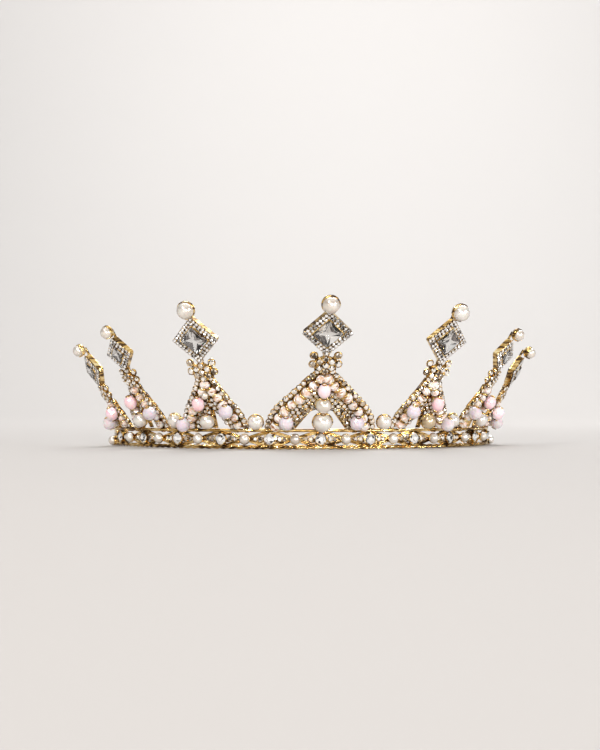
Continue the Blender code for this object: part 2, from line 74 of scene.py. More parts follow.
# One row for each kind of prong: shares of the crown's sizes, then widths of its own pieces
prongRows = {
    "front": {"place": 0.0, "arm": 1.0, "foot": 1.0, "lean": 1.14, "halo": 0.0112, "pearl": 0.0054,
              "stone": 0.0019, "bead": 0.0034, "fill": 0.0015, "armWide": 0.0064, "rows": 3, "small": 1.0},
    "inner": {"place": 0.377, "arm": 0.84, "foot": 0.64, "lean": 0.96, "halo": 0.0112, "pearl": 0.0054,
              "stone": 0.0018, "bead": 0.0030, "fill": 0.0014, "armWide": 0.0056, "rows": 2, "small": 1.0},
    "outer": {"place": 0.672, "arm": 0.74, "foot": 0.50, "lean": 0.98, "halo": 0.0088, "pearl": 0.0040,
              "stone": 0.0017, "bead": 0.0027, "fill": 0.0013, "armWide": 0.0050, "rows": 2, "small": 0.84},
    "end": {"place": 0.885, "arm": 0.48, "foot": 0.42, "lean": 0.97, "halo": 0.0088, "pearl": 0.0040,
            "stone": 0.0015, "bead": 0.0024, "fill": 0.0012, "armWide": 0.0042, "rows": 1, "small": 0.84},
}
tentOutline = ((1.0, 0.0), (0.98, 0.17), (0.86, 0.38), (0.64, 0.57), (0.43, 0.76))

# The band's mid-line follows an ellipse, read by the length along it
turns = np.linspace(-1.1 * math.pi, 1.1 * math.pi, 4401)
planX = 0.5 * crown["width"] * np.sin(turns)
planY = -crown["frontDepth"] * np.cos(turns)
arcs = np.concatenate(([0.0], np.cumsum(np.hypot(np.diff(planX), np.diff(planY)))))
arcs = arcs - np.interp(0.0, turns, arcs)


def planPoint(arc):
    # point on the band's mid-line, the way along it, outward, and the radius of the bend there
    turn = float(np.interp(arc, arcs, turns))
    half, deep = 0.5 * crown["width"], crown["frontDepth"]
    point = Vector((half * math.sin(turn), crown["middleY"] - deep * math.cos(turn), 0.0))
    along = Vector((half * math.cos(turn), deep * math.sin(turn), 0.0)).normalized()
    speed = math.hypot(half * math.cos(turn), deep * math.sin(turn))
    return point, along, Vector((along.y, -along.x, 0.0)), speed ** 3 / (half * deep)


def seatAt(place, along, rising, facing):
    seat = Matrix((along, rising, facing)).transposed().to_4x4()
    seat.translation = place
    return seat


def leanBy(outward, lean):
    # the way up something that leans outward, and the way that it faces
    rising = upward * math.cos(lean) + outward * math.sin(lean)
    return rising, outward * math.cos(lean) - upward * math.sin(lean)


def bandSeat(arc, up, out):
    # a place on the upright band: X along it, Y up, Z outward
    point, along, outward = planPoint(arc)[:3]
    return seatAt(point + outward * out + upward * up, along, upward, outward)


def bandSpot(arc, up, out):
    return bandSeat(arc, up, out).translation


def prongSeat(prong, across, up, out, angle=0.0):
    # a place on a leaning prong: X across, Y up the prong, Z outward, then turned by the angle
    radius = planPoint(prong["arc"])[3]
    arc = prong["arc"] + across * radius / (radius + up * math.sin(prong["leanNow"]))
    point, along, outward = planPoint(arc)[:3]
    rising, facing = leanBy(outward, prong["leanNow"])
    base = upward * (crown["bandHeight"] + crown["clearance"])
    seat = seatAt(point + base + rising * up + facing * out, along, rising, facing)
    return seat @ Matrix.Rotation(angle, 4, "Z")


def prongSpot(prong, across, up, out):
    return prongSeat(prong, across, up, out).translation


def makeProngs():
    # the seven prongs with their heights worked out as the solids have them
    made = {}
    for kind, row in prongRows.items():
        for word, side in (("left", -1), ("right", 1)):
            diagonal = row["halo"] * math.sqrt(0.5)
            arm = row["arm"] * crown["armHeight"]
            flower = arm + 0.32 * crown["flowerWidth"]
            stone = flower + 0.25 * crown["flowerWidth"] + diagonal
            made["front" if kind == "front" else word + "_" + kind] = dict(
                row,
                arc=side * row["place"] * crown["bandArc"],
                leanNow=math.radians(row["lean"] * crown["lean"]),
                armUp=arm,
                flowerUp=flower,
                stoneUp=stone,
                tipUp=stone + diagonal + 0.5 * row["pearl"] + crown["clearance"],
                halfFoot=0.5 * crown["footWidth"] * row["foot"],
                halfNotch=0.5 * crown["notchWidth"] * row["foot"],
                notchUp=crown["notchHeight"] * row["arm"],
            )
    return made


prongs = makeProngs()

# Tools for nodes, objects and shapes


def addNode(tree, kind, inputs=None, **settings):
    # a node with its settings, its plain values and the links into it
    node = tree.nodes.new(kind)
    for label, value in settings.items():
        setattr(node, label, value)
    for label, value in (inputs or {}).items():
        if isinstance(value, bpy.types.NodeSocket):
            tree.links.new(value, node.inputs[label])
        else:
            node.inputs[label].default_value = value
    return node


def addItem(name, data):
    item = bpy.data.objects.new(name, data)
    scene.collection.objects.link(item)
    return item


def meshItem(name, shape, finishes=(), smooth=False, sharp=None):
    mesh = bpy.data.meshes.new(name)
    bmesh.ops.recalc_face_normals(shape, faces=shape.faces)
    shape.to_mesh(mesh)
    shape.free()
    for finish in finishes:
        mesh.materials.append(finish)
    if smooth or sharp:
        mesh.shade_smooth()
    if sharp:
        mesh.set_sharp_from_angle(angle=math.radians(sharp))
    return addItem(name, mesh)


def hand(piece, slot, *nodes):
    # the piece rides with the crown and stands for these solids
    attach(piece, "root")
    if nodes:
        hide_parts(*nodes)
    return piece


def ring(sides, radius, height=0.0, turn=0.0):
    # points round a ring, turned by a share of one step
    angles = [2.0 * math.pi * (index + turn) / sides for index in range(sides)]
    return [(radius * math.cos(angle), radius * math.sin(angle), height) for angle in angles]


def loft(rings, wrap=False, caps=False):
    # four-sided walls through rings of points; gives the shape and its faces in order
    shape = bmesh.new()
    rows = [[shape.verts.new(point) for point in points] for points in rings]
    faces = []
    for low, high in zip(rows, rows[1:] + rows[:1] if wrap else rows[1:]):
        for index in range(len(low)):
            after = (index + 1) % len(low)
            faces.append(shape.faces.new((low[index], low[after], high[after], high[index])))
    if caps:
        faces.extend((shape.faces.new(rows[0]), shape.faces.new(rows[-1])))
    return shape, faces


def stackRings(rings, shape=None, place=Matrix.Identity(4)):
    # three-sided facets through rings of points, with a tip or a flat cap at each end
    shape = shape or bmesh.new()
    rows = [[shape.verts.new(place @ Vector(point)) for point in points] for points in rings]
    for low, high in zip(rows, rows[1:]):
        count = max(len(low), len(high))
        for index in range(count):
            after = (index + 1) % count
            if len(low) == 1:
                shape.faces.new((low[0], high[after], high[index]))
            elif len(high) == 1:
                shape.faces.new((low[index], low[after], high[0]))
            else:
                shape.faces.new((low[index], low[after], high[index]))
                shape.faces.new((low[after], high[after], high[index]))
    for row in (rows[0], rows[-1]):
        if len(row) > 1:
            shape.faces.new(row)
    return shape


# Finishes


def newFinish(name, **values):
    # a Principled finish with its plain values set on the shader's own sockets
    finish = bpy.data.materials.new(name)
    finish.use_nodes = True
    shader = finish.node_tree.nodes["Principled BSDF"]
    for label, value in values.items():
        shader.inputs[label.replace("_", " ")].default_value = value
    return finish, finish.node_tree, shader.inputs


def addNoise(tree, scale, detail, streak=1.0):
    # a streak over one draws the clouds out along the level
    place = addNode(tree, "ShaderNodeTexCoord").outputs["Object"]
    pull = addNode(tree, "ShaderNodeVectorMath", {0: place, 1: (1.0, 1.0, streak)}, operation="MULTIPLY")
    values = {"Vector": pull.outputs[0], "Scale": scale, "Detail": detail, "Roughness": 0.55}
    return addNode(tree, "ShaderNodeTexNoise", values).outputs["Fac"]


def tintBy(tree, source, stops, sink):
    # a number picks the colour
    ramp = addNode(tree, "ShaderNodeValToRGB", {"Fac": source})
    marks = ramp.color_ramp.elements
    for index, (position, colour) in enumerate((stops[0], stops[-1])):
        marks[index].position = position
        marks[index].color = colour + (1.0,)
    for position, colour in stops[1:-1]:
        marks.new(position).color = colour + (1.0,)
    tree.links.new(ramp.outputs["Color"], sink)


def roughen(tree, shader, scale, detail, strength, distance):
    # a fine unevenness of the surface
    values = {"Height": addNoise(tree, scale, detail), "Strength": strength, "Distance": distance}
    tree.links.new(addNode(tree, "ShaderNodeBump", values).outputs["Normal"], shader["Normal"])


def toneAndPaintedSparkleByPiece(tree, shader, stops, labels=("shade", "facet")):
    # the number of each set piece and the number of each facet pick the tint: a random tone for the milky
    # beads, painted sparkle (dark and bright facets standing in for reflections) for the foiled stones, the
    # foil and the cut peach beads
    total = addNode(tree, "ShaderNodeMath", {1: 0.0}, operation="ADD")
    for socket, label in zip(total.inputs, labels):
        mark = addNode(tree, "ShaderNodeAttribute", attribute_name=label)
        tree.links.new(mark.outputs["Fac"], socket)
    wrap = addNode(tree, "ShaderNodeMath", {0: total.outputs[0]}, operation="FRACT")
    tintBy(tree, wrap.outputs[0], stops, shader["Base Color"])


# deep and pale are partly painted light: a near-black reflection tone and a pale highlight tone laid into the
# metal's colour in random clouds
goldLook = {
    "deep": (0.10, 0.045, 0.010),
    "base": (0.82, 0.53, 0.17),
    "pale": (1.0, 0.84, 0.48),
    "cloudScale": 190.0,
    "streak": 6.0,
    "grainScale": 1500.0,
    "roughLow": 0.12,
    "roughHigh": 0.30,
    "bump": 0.10,
}


def goldFinish(name, **changes):
    # plated metal: a little cloudy, from deep to pale in random clouds that are partly uneven plating and
    # partly painted dark reflections and painted highlights; finely uneven
    look = dict(goldLook, **changes)
    finish, tree, shader = newFinish(name, Metallic=1.0, Coat_Weight=0.25, Coat_Roughness=0.06)
    cloud = addNoise(tree, look["cloudScale"], 3.0, look["streak"])
    stops = ((0.41, look["deep"]), (0.52, look["base"]), (0.65, look["pale"]))
    tintBy(tree, cloud, stops, shader["Base Color"])
    values = {"Value": cloud, "To Min": look["roughLow"], "To Max": look["roughHigh"]}
    tree.links.new(addNode(tree, "ShaderNodeMapRange", values).outputs["Result"], shader["Roughness"])
    roughen(tree, shader, look["grainScale"], 3.0, look["bump"], 0.0001)
    return finish


goldPlate = goldFinish("plated gold")
goldWire = goldFinish(
    "drawn gold wire", cloudScale=320.0, streak=3.0, bump=0.05, roughLow=0.10, roughHigh=0.24,
)
goldBack = goldFinish(
    "burnished back plates", deep=(0.52, 0.32, 0.10), base=(0.78, 0.52, 0.19), pale=(0.92, 0.70, 0.36),
    cloudScale=150.0, streak=1.4,
)
# painted shade: the cups' gold runs from near black to mid gold so the gaps between stones, claws and plates
# look dark where light is trapped; the cups themselves are real gold
gapShadeGold = goldFinish(
    "pressed gold cups", deep=(0.05, 0.022, 0.005), base=(0.56, 0.32, 0.08),
    cloudScale=1000.0, streak=1.0, bump=0.06,
)
# painted shade: dark metal for the halo cups and the tray between the pave stones, standing in for the shade
# in their gaps
gapShadeHaloMetal = goldFinish(
    "pale halo metal", deep=(0.03, 0.015, 0.007), base=(0.30, 0.18, 0.07), pale=(0.92, 0.74, 0.42),
    cloudScale=1300.0, streak=1.0,
)


def foilStones(name, roughness, *stops):
    # small cut stones over foil; their base colour runs from near black to white by facet and by stone,
    # painted sparkle that stands in for reflections in the foil
    values = {"Metallic": 0.6, "Roughness": roughness, "Coat_Weight": 1.0, "Coat_Roughness": 0.02}
    finish, tree, shader = newFinish(name, **values)
    toneAndPaintedSparkleByPiece(tree, shader, stops)
    return finish


def pearlFinish(name, *stops):
    # nacre: a soft body under a clear coat, with slow pink and cream clouds
    finish, tree, shader = newFinish(
        name, Roughness=0.20, Coat_Weight=1.0, Coat_Roughness=0.03, Coat_IOR=1.8, Subsurface_Weight=0.06,
        Subsurface_Scale=0.0005, Specular_IOR_Level=0.9, Metallic=0.45,
    )
    tintBy(tree, addNoise(tree, 210.0, 2.0), stops, shader["Base Color"])
    roughen(tree, shader, 2600.0, 2.0, 0.03, 0.00005)
    return finish


def glassBeads(name, roughness, transmission, film, body, labels, *stops):
    # milky or clear glass beads with a thin sheen film; the tint follows the bead's own number, and for cut
    # beads also the facet's, which makes it painted sparkle
    finish, tree, shader = newFinish(
        name, Roughness=roughness, IOR=1.5, Transmission_Weight=transmission, Coat_Weight=0.8,
        Coat_Roughness=0.03, Thin_Film_IOR=1.42, Subsurface_Weight=body, Subsurface_Scale=0.0010,
    )
    toneAndPaintedSparkleByPiece(tree, shader, stops, labels)
    if film:
        values = {"From Min": 0.3, "From Max": 0.7, "To Min": 0.6 * film, "To Max": 1.4 * film}
        layer = addNode(tree, "ShaderNodeMapRange", dict(values, Value=addNoise(tree, 340.0, 1.0)))
        tree.links.new(layer.outputs["Result"], shader["Thin Film Thickness"])
    roughen(tree, shader, 1800.0, 2.0, 0.02, 0.00004)
    return finish


# painted sparkle for the clear stones: near-black to white facet tints stand in for reflections
clearStones = foilStones(
    "clear foiled stones", 0.07,
    (0.0, (0.03, 0.025, 0.02)), (0.16, (0.14, 0.13, 0.12)),
    (0.34, (0.70, 0.68, 0.66)), (0.48, (1.0, 0.99, 0.98)),
)
# painted sparkle for the arm stones, warmer: dark brown to cream-white facet tints stand in for reflections
armStones = foilStones(
    "arm stones", 0.08,
    (0.0, (0.03, 0.015, 0.006)), (0.18, (0.16, 0.11, 0.06)),
    (0.38, (0.74, 0.62, 0.48)), (0.52, (1.0, 0.96, 0.90)),
)
tableGlass, tableTree, tableShader = newFinish(
    "cut crystal", Roughness=0.0, IOR=1.58, Transmission_Weight=1.0,
)
tintBy(
    tableTree, addNoise(tableTree, 90.0, 1.0), ((0.3, (0.97, 0.98, 1.0)), (0.7, (1.0, 1.0, 1.0))),
    tableShader["Base Color"],
)
# the foil's facets get painted brightness, dark grey to white, that stands in for reflections and draws the
# square stones' star
foilBack, foilTree, foilShader = newFinish("silver foil", Metallic=1.0, Roughness=0.06)
foilStops = ((0.0, (0.11, 0.09, 0.08)), (0.2, (0.48, 0.45, 0.43)), (0.45, (1.0, 0.99, 0.97)))
toneAndPaintedSparkleByPiece(foilTree, foilShader, foilStops, ("facet",))
ivoryPearl = pearlFinish(
    "ivory pearl", (0.34, (0.68, 0.60, 0.51)), (0.50, (0.79, 0.73, 0.65)), (0.66, (0.87, 0.83, 0.79)),
)
creamPearl = pearlFinish(
    "cream gold pearl", (0.34, (0.52, 0.38, 0.19)), (0.50, (0.64, 0.50, 0.31)), (0.66, (0.72, 0.62, 0.46)),
)
pinkGlass = glassBeads(
    "pink milk glass", 0.12, 0.05, 0.0, 0.3, ("shade",), (0.0, (0.88, 0.60, 0.63)), (1.0, (0.94, 0.77, 0.81)),
)
opalGlass = glassBeads(
    "opal glass", 0.08, 0.20, 480.0, 0.3, ("shade",), (0.0, (0.76, 0.68, 0.74)), (1.0, (0.86, 0.78, 0.80)),
)
# painted sparkle: the peach crystal's facets are tinted from dark brown to near white, standing in for glints
# and reflections; the peach in between is its own colour
peachGlass = glassBeads(
    "peach crystal", 0.04, 0.22, 0.0, 0.10, ("shade", "facet"),
    (0.0, (0.36, 0.17, 0.08)), (0.18, (0.82, 0.54, 0.38)),
    (0.44, (0.98, 0.81, 0.71)), (0.76, (1.0, 0.96, 0.93)),
)
print("finishes are ready")

# Geometry Nodes trees


def newTree(name, sockets):
    tree = bpy.data.node_groups.new(name, "GeometryNodeTree")
    tree.interface.new_socket("Geometry", in_out="INPUT", socket_type="NodeSocketGeometry")
    for label, kind, value in sockets:
        socket = tree.interface.new_socket(label, in_out="INPUT", socket_type="NodeSocket" + kind)
        if value is not None:
            socket.default_value = value
    tree.interface.new_socket("Finish", in_out="INPUT", socket_type="NodeSocketMaterial")
    tree.interface.new_socket("Geometry", in_out="OUTPUT", socket_type="NodeSocketGeometry")
    return tree, tree.nodes.new("NodeGroupInput").outputs


def endTree(tree, given, made):
    # real geometry with its finish on
    real = addNode(tree, "GeometryNodeRealizeInstances", {"Geometry": made})
    values = {"Geometry": real.outputs[0], "Material": given["Finish"]}
    dressed = addNode(tree, "GeometryNodeSetMaterial", values)
    addNode(tree, "NodeGroupOutput", {"Geometry": dressed.outputs[0]})
    return tree


def sweepTree(tree, given, curve, radius, sides):
    # round wire along a curve, closed at its ends
    outline = addNode(tree, "GeometryNodeCurvePrimitiveCircle", {"Resolution": sides, "Radius": radius})
    values = {"Curve": curve, "Profile Curve": outline.outputs["Curve"], "Fill Caps": True}
    sweep = addNode(tree, "GeometryNodeCurveToMesh", values)
    smooth = addNode(tree, "GeometryNodeSetShadeSmooth", {"Geometry": sweep.outputs["Mesh"]})
    return endTree(tree, given, smooth.outputs["Geometry"])


def settingTree():
    # sets a cut piece on every seat, turned to its facing, with a slight tilt
    tree, given = newTree("set pieces", (
        ("Piece", "Object", None), ("Tilt", "Float", 0.0), ("Seed", "Int", 1),
    ))
    facing, along, size = [
        addNode(tree, "GeometryNodeInputNamedAttribute", {"Name": label}, data_type=kind).outputs["Attribute"]
        for label, kind in (("facing", "FLOAT_VECTOR"), ("along", "FLOAT_VECTOR"), ("size", "FLOAT"))
    ]
    align = "FunctionNodeAlignRotationToVector"
    rise = addNode(tree, align, {"Vector": facing}, axis="Z").outputs["Rotation"]
    swing = addNode(tree, align, {"Rotation": rise, "Vector": along}, axis="X", pivot_axis="Z")
    lower = addNode(tree, "ShaderNodeMath", {0: given["Tilt"], 1: -1.0}, operation="MULTIPLY").outputs[0]
    limits = {"Min": lower, "Max": given["Tilt"], "Seed": given["Seed"]}
    tilt = addNode(tree, "FunctionNodeRandomValue", limits, data_type="FLOAT_VECTOR").outputs["Value"]
    nudge = addNode(tree, "FunctionNodeEulerToRotation", {"Euler": tilt}).outputs["Rotation"]
    values = {"Rotation": swing.outputs["Rotation"], "Rotate By": nudge}
    turned = addNode(tree, "FunctionNodeRotateRotation", values, rotation_space="LOCAL").outputs["Rotation"]
    piece = addNode(tree, "GeometryNodeObjectInfo", {"Object": given["Piece"]}, transform_space="ORIGINAL")
    values = {"Points": given["Geometry"], "Instance": piece.outputs["Geometry"], "Scale": size}
    values["Rotation"] = turned
    placed = addNode(tree, "GeometryNodeInstanceOnPoints", values).outputs["Instances"]
    # each piece's own random number, which picks a bead's tone and shifts a stone's painted sparkle
    shade = addNode(tree, "FunctionNodeRandomValue", {"Seed": given["Seed"]}, data_type="FLOAT")
    number = next(socket for socket in shade.outputs if socket.enabled)
    values = {"Geometry": placed, "Name": "shade", "Value": number}
    marked = addNode(tree, "GeometryNodeStoreNamedAttribute", values, data_type="FLOAT", domain="INSTANCE")
    return endTree(tree, given, marked.outputs["Geometry"])


def wireTree():
    # draws every route as round wire
    tree, given = newTree("draw wire", (("Radius", "Float", 0.0003), ("Sides", "Int", 8)))
    return sweepTree(tree, given, given["Geometry"], given["Radius"], given["Sides"])


def windingTree():
    # winds fine wire round every route, one turn to each pitch of its length
    tree, given = newTree("wind wire", (
        ("Winding radius", "Float", 0.0008), ("Pitch", "Float", 0.0004), ("Wire", "Float", 0.00015),
    ))

    def reckon(operation, *values, kind="ShaderNodeMath"):
        return addNode(tree, kind, dict(enumerate(values)), operation=operation).outputs[0]

    def scaled(vector, scale):
        values = {0: vector, "Scale": scale}
        return addNode(tree, "ShaderNodeVectorMath", values, operation="SCALE").outputs[0]

    step = reckon("DIVIDE", given["Pitch"], 10.0)
    values = {"Curve": given["Geometry"], "Length": step}
    walk = addNode(tree, "GeometryNodeResampleCurve", values, mode="LENGTH")
    length = addNode(tree, "GeometryNodeSplineParameter").outputs["Length"]
    angle = reckon("MULTIPLY", reckon("DIVIDE", length, given["Pitch"]), 2.0 * math.pi)
    normal = addNode(tree, "GeometryNodeInputNormal").outputs[0]
    tangent = addNode(tree, "GeometryNodeInputTangent").outputs[0]
    side = reckon("CROSS_PRODUCT", normal, tangent, kind="ShaderNodeVectorMath")
    parts = (scaled(normal, reckon("COSINE", angle)), scaled(side, reckon("SINE", angle)))
    reach = scaled(reckon("ADD", *parts, kind="ShaderNodeVectorMath"), given["Winding radius"])
    moved = addNode(tree, "GeometryNodeSetPosition", {"Geometry": walk.outputs["Curve"], "Offset": reach})
    return sweepTree(tree, given, moved.outputs["Geometry"], given["Wire"], 5)


setPieces = settingTree()
drawWire = wireTree()
windWire = windingTree()


def runTree(item, tree, **values):
    # set the inputs by identifier, evaluate once and keep a plain mesh
    modifier = item.modifiers.new(tree.name, "NODES")
    modifier.node_group = tree
    for socket in tree.interface.items_tree:
        if socket.in_out == "INPUT" and socket.name in values:
            modifier[socket.identifier] = values[socket.name]
    bpy.context.view_layer.update()
    graph = bpy.context.evaluated_depsgraph_get()
    final = item.evaluated_get(graph)
    mesh = bpy.data.meshes.new_from_object(final, preserve_all_data_layers=True, depsgraph=graph)
    name = item.name
    bpy.data.objects.remove(item, do_unlink=True)
    return addItem(name, mesh)


def setOn(name, seats, piece, finish, tilt=0.0, seed=1):
    # seats are (matrix, size) pairs
    mesh = bpy.data.meshes.new(name)
    mesh.vertices.add(len(seats))
    mesh.vertices.foreach_set("co", [value for seat, size in seats for value in seat.translation])
    for label, column in (("facing", 2), ("along", 0)):
        mark = mesh.attributes.new(label, "FLOAT_VECTOR", "POINT")
        mark.data.foreach_set("vector", [value for seat, size in seats for value in seat.col[column][:3]])
    mesh.attributes.new("size", "FLOAT", "POINT").data.foreach_set("value", [size for seat, size in seats])
    return runTree(addItem(name, mesh), setPieces, Piece=sources[piece], Tilt=tilt, Seed=seed, Finish=finish)


def routesCurve(routes):
    # routes are lists of points; a closed one is a pair of the points and True
    curve = bpy.data.curves.new("routes", "CURVE")
    curve.dimensions = "3D"
    for route in routes:
        closed = isinstance(route, tuple)
        points = route[0] if closed else route
        spline = curve.splines.new("POLY")
        spline.points.add(len(points) - 1)
        spline.points.foreach_set("co", [value for point in points for value in (*point, 1.0)])
        spline.use_cyclic_u = closed
    return addItem("routes", curve)


def wires(routes, radius, finish, sides=8):
    return runTree(routesCurve(routes), drawWire, Radius=radius, Sides=sides, Finish=finish)


def windings(routes, radius, pitch, wire):
    values = {"Winding radius": radius, "Pitch": pitch, "Wire": wire, "Finish": goldWire}
    return runTree(routesCurve(routes), windWire, **values)


def joined(name, items):
    # one plain mesh from several, with its finishes kept
    bpy.ops.object.select_all(action="DESELECT")
    for item in items:
        item.select_set(True)
    bpy.context.view_layer.objects.active = items[0]
    bpy.ops.object.join()
    whole = bpy.context.view_layer.objects.active
    whole.name = name
    whole.data.name = name
    shape = bmesh.new()
    shape.from_mesh(whole.data)
    bmesh.ops.recalc_face_normals(shape, faces=shape.faces)
    shape.to_mesh(whole.data)
    shape.free()
    return whole


# Cut pieces that are set many times, one unit across

smallCut = {"depth": 0.30, "rings": ((0.5, 0.0), (0.5, 0.05), (0.28, 0.25, 0.5))}
eyeCut = {"depth": 0.17, "rings": ((0.5, 0.0), (0.5, 0.04), (0.36, 0.13, 0.5), (0.17, 0.20))}
cupRings = ((0.40, -0.42), (0.57, -0.10), (0.57, 0.06), (0.49, 0.08), (0.30, -0.36))
pearlCup = {"outer": 0.56, "inner": 0.508, "first": 20.0, "step": 16.0, "rows": 4, "sides": 20}
spacerLook = {"radius": 0.34, "wire": 0.16}


def cutRings(cut):
    # a pointed back, a girdle and eight-sided rings of facets up to the table
    return [[(0.0, 0.0, -cut["depth"])]] + [ring(8, *row) for row in cut["rings"]]


def spacerShape():
    # a small ring of wire round the thread, along X
    away = spacerLook["radius"]
    wire = ring(5, spacerLook["wire"])
    return loft([[(x, (away + y) * cosine, (away + y) * sine) for x, y, flat in wire]
                 for cosine, sine, flat in ring(10, 1.0)], wrap=True)[0]


def bowlRings(outer, inner, first, step, rows, sides):
    # rings up the outside of a bowl behind a ball and down its inside, its mouth towards +Z
    rings = []
    for radius, order in ((outer, range(rows + 1)), (inner, range(rows, -1, -1))):
        for index in order:
            tilt = math.radians(first + step * index)
            rings.append(ring(sides, radius * math.sin(tilt), -radius * math.cos(tilt)))
    return rings


def cupShape(claws):
    # a little metal cup with its claws bent over the stone's edge
    shape = stackRings([ring(8, *row) for row in cupRings])
    for place in ring(claws, 0.50, 0.10, 0.5):
        claw = bmesh.ops.create_icosphere(shape, subdivisions=1, radius=0.105)
        bmesh.ops.transform(shape, matrix=Matrix.Translation(place), verts=claw["verts"])
    return shape


def ballShape(tip, rings):
    # a ball through its rings, with its thread along Y
    shape = stackRings([[(0.0, 0.0, -tip)], *rings, [(0.0, 0.0, tip)]])
    bmesh.ops.rotate(shape, verts=shape.verts, matrix=Matrix.Rotation(math.radians(90.0), 3, "X"))
    return shape


def facetBead(sides, heights, wide=1.0):
    # a cut bead in staggered rings, its lower and upper halves alike
    rings = []
    for index, height in enumerate(heights):
        radius = 0.5 * wide * math.sqrt(max(1.0 - (2.0 * height) ** 2, 0.02))
        rings.append(ring(sides, radius, height, 0.5 * (index % 2)))
    return ballShape(0.47, rings)


def pearlShape(segments, rows):
    # a pearl with a drilled dimple at each end of its thread
    tilts = [math.radians(8.0 + 164.0 * index / rows) for index in range(rows + 1)]
    return ballShape(0.44, [ring(segments, 0.5 * math.sin(tilt), -0.5 * math.cos(tilt)) for tilt in tilts])


facetLots = random.Random(5)


def markFacets(item, values=None):
    # every facet carries its own number between nought and one; the stone, foil and peach bead finishes turn
    # it into painted sparkle
    mark = item.data.attributes.new("facet", "FLOAT", "FACE")
    mark.data.foreach_set("value", values or [facetLots.random() for face in item.data.polygons])
    return item


sources = {
    "stone": markFacets(meshItem("source stone", stackRings(cutRings(smallCut)))),
    "cup": markFacets(meshItem("source cup", cupShape(4))),
    "pearl": meshItem("source pearl", pearlShape(24, 14), smooth=True),
    "opal": markFacets(meshItem("source opal bead", facetBead(12, (-0.44, -0.30, -0.11, 0.11, 0.30, 0.44)))),
    "pink": markFacets(meshItem(
        "source pink bead", facetBead(16, (-0.46, -0.38, -0.24, -0.08, 0.08, 0.24, 0.38, 0.46), 0.82))),
    "peach": markFacets(meshItem("source peach bead", facetBead(8, (-0.42, -0.22, 0.0, 0.22, 0.42)))),
    "spacer": meshItem("source spacer", spacerShape(), smooth=True),
    "bowl": meshItem("source bowl", loft(bowlRings(*pearlCup.values()), wrap=True)[0], smooth=True),
}


def setStones(seats, finish, cupFinish, tilt, seed):
    # stones with their cups, as two meshes
    stones = setOn("stones", seats, "stone", finish, tilt, seed)
    return stones, setOn("cups", seats, "cup", cupFinish, 0.0, seed)


# The band

bandLook = {
    "step": 0.0007,
    "rail": 0.00054,
    "rails": ((0.0, 0.0), (0.00006, 0.00032), (0.00006, -0.00032)),
    "wave": 0.00032,
    "waveIn": 0.0014,
    "waveOut": 0.0001,
    "waveShifts": (-0.00022, 0.00030),
    "weave": 0.00024,
    "braid": 0.00034,
    "braidUp": 0.00078,
    "braidSwing": 0.00040,
    "braidDeep": 0.00042,
    "braidPitch": 0.00821,
    "stone": 0.0040,
    "stoneOut": 0.0009,
    "cornerStones": ((0.00315, 0.0018), (0.00475, 0.0014)),
    "cornerOut": 0.0004,
    "pearl": 0.0033,
    "pearlOut": 0.00125,
    "endPearl": (0.00182, 0.00142),
    "collar": {"radius": 0.00045, "pitch": 0.00034, "wire": 0.00014},
    "plateBevel": 0.00028,
}


def bandRoute(reach, upAt, outAt):
    # a route along the band, from one side to the other
    count = int(round(2.0 * reach / bandLook["step"]))
    places = [2.0 * reach * index / count - reach for index in range(count + 1)]
    return [bandSpot(arc, upAt(arc), outAt(arc)) for arc in places]


def eyeStones(seats):
    # one larger foiled stone for each eye of the band
    whole = bmesh.new()
    for order, (seat, size) in enumerate(seats):
        turn = Matrix.Rotation(0.4 * order, 4, "Z")
        stackRings(cutRings(eyeCut), whole, seat @ Matrix.Scale(size, 4) @ turn)
    hand(markFacets(meshItem("eye_stones", whole, [clearStones])), "clear_crystal")


def endPlates():
    # a folded plate closes each end of the rails
    shape = bmesh.new()
    size = Matrix.Diagonal((crown["endPlate"], crown["bandHeight"] - 0.0004, crown["bandThick"], 1.0))
    for side in (-1, 1):
        centre = bandSeat(side * (crown["bandArc"] - 0.5 * crown["endPlate"]), 0.5 * crown["bandHeight"], 0.0)
        made = bmesh.ops.create_cube(shape, size=1.0)
        bmesh.ops.transform(shape, matrix=centre @ size, verts=made["verts"])
    bmesh.ops.bevel(shape, geom=list(shape.edges), offset=bandLook["plateBevel"], segments=3, affect="EDGES",
                    profile=0.6)
    return meshItem("end plates", shape, [goldPlate], smooth=True)


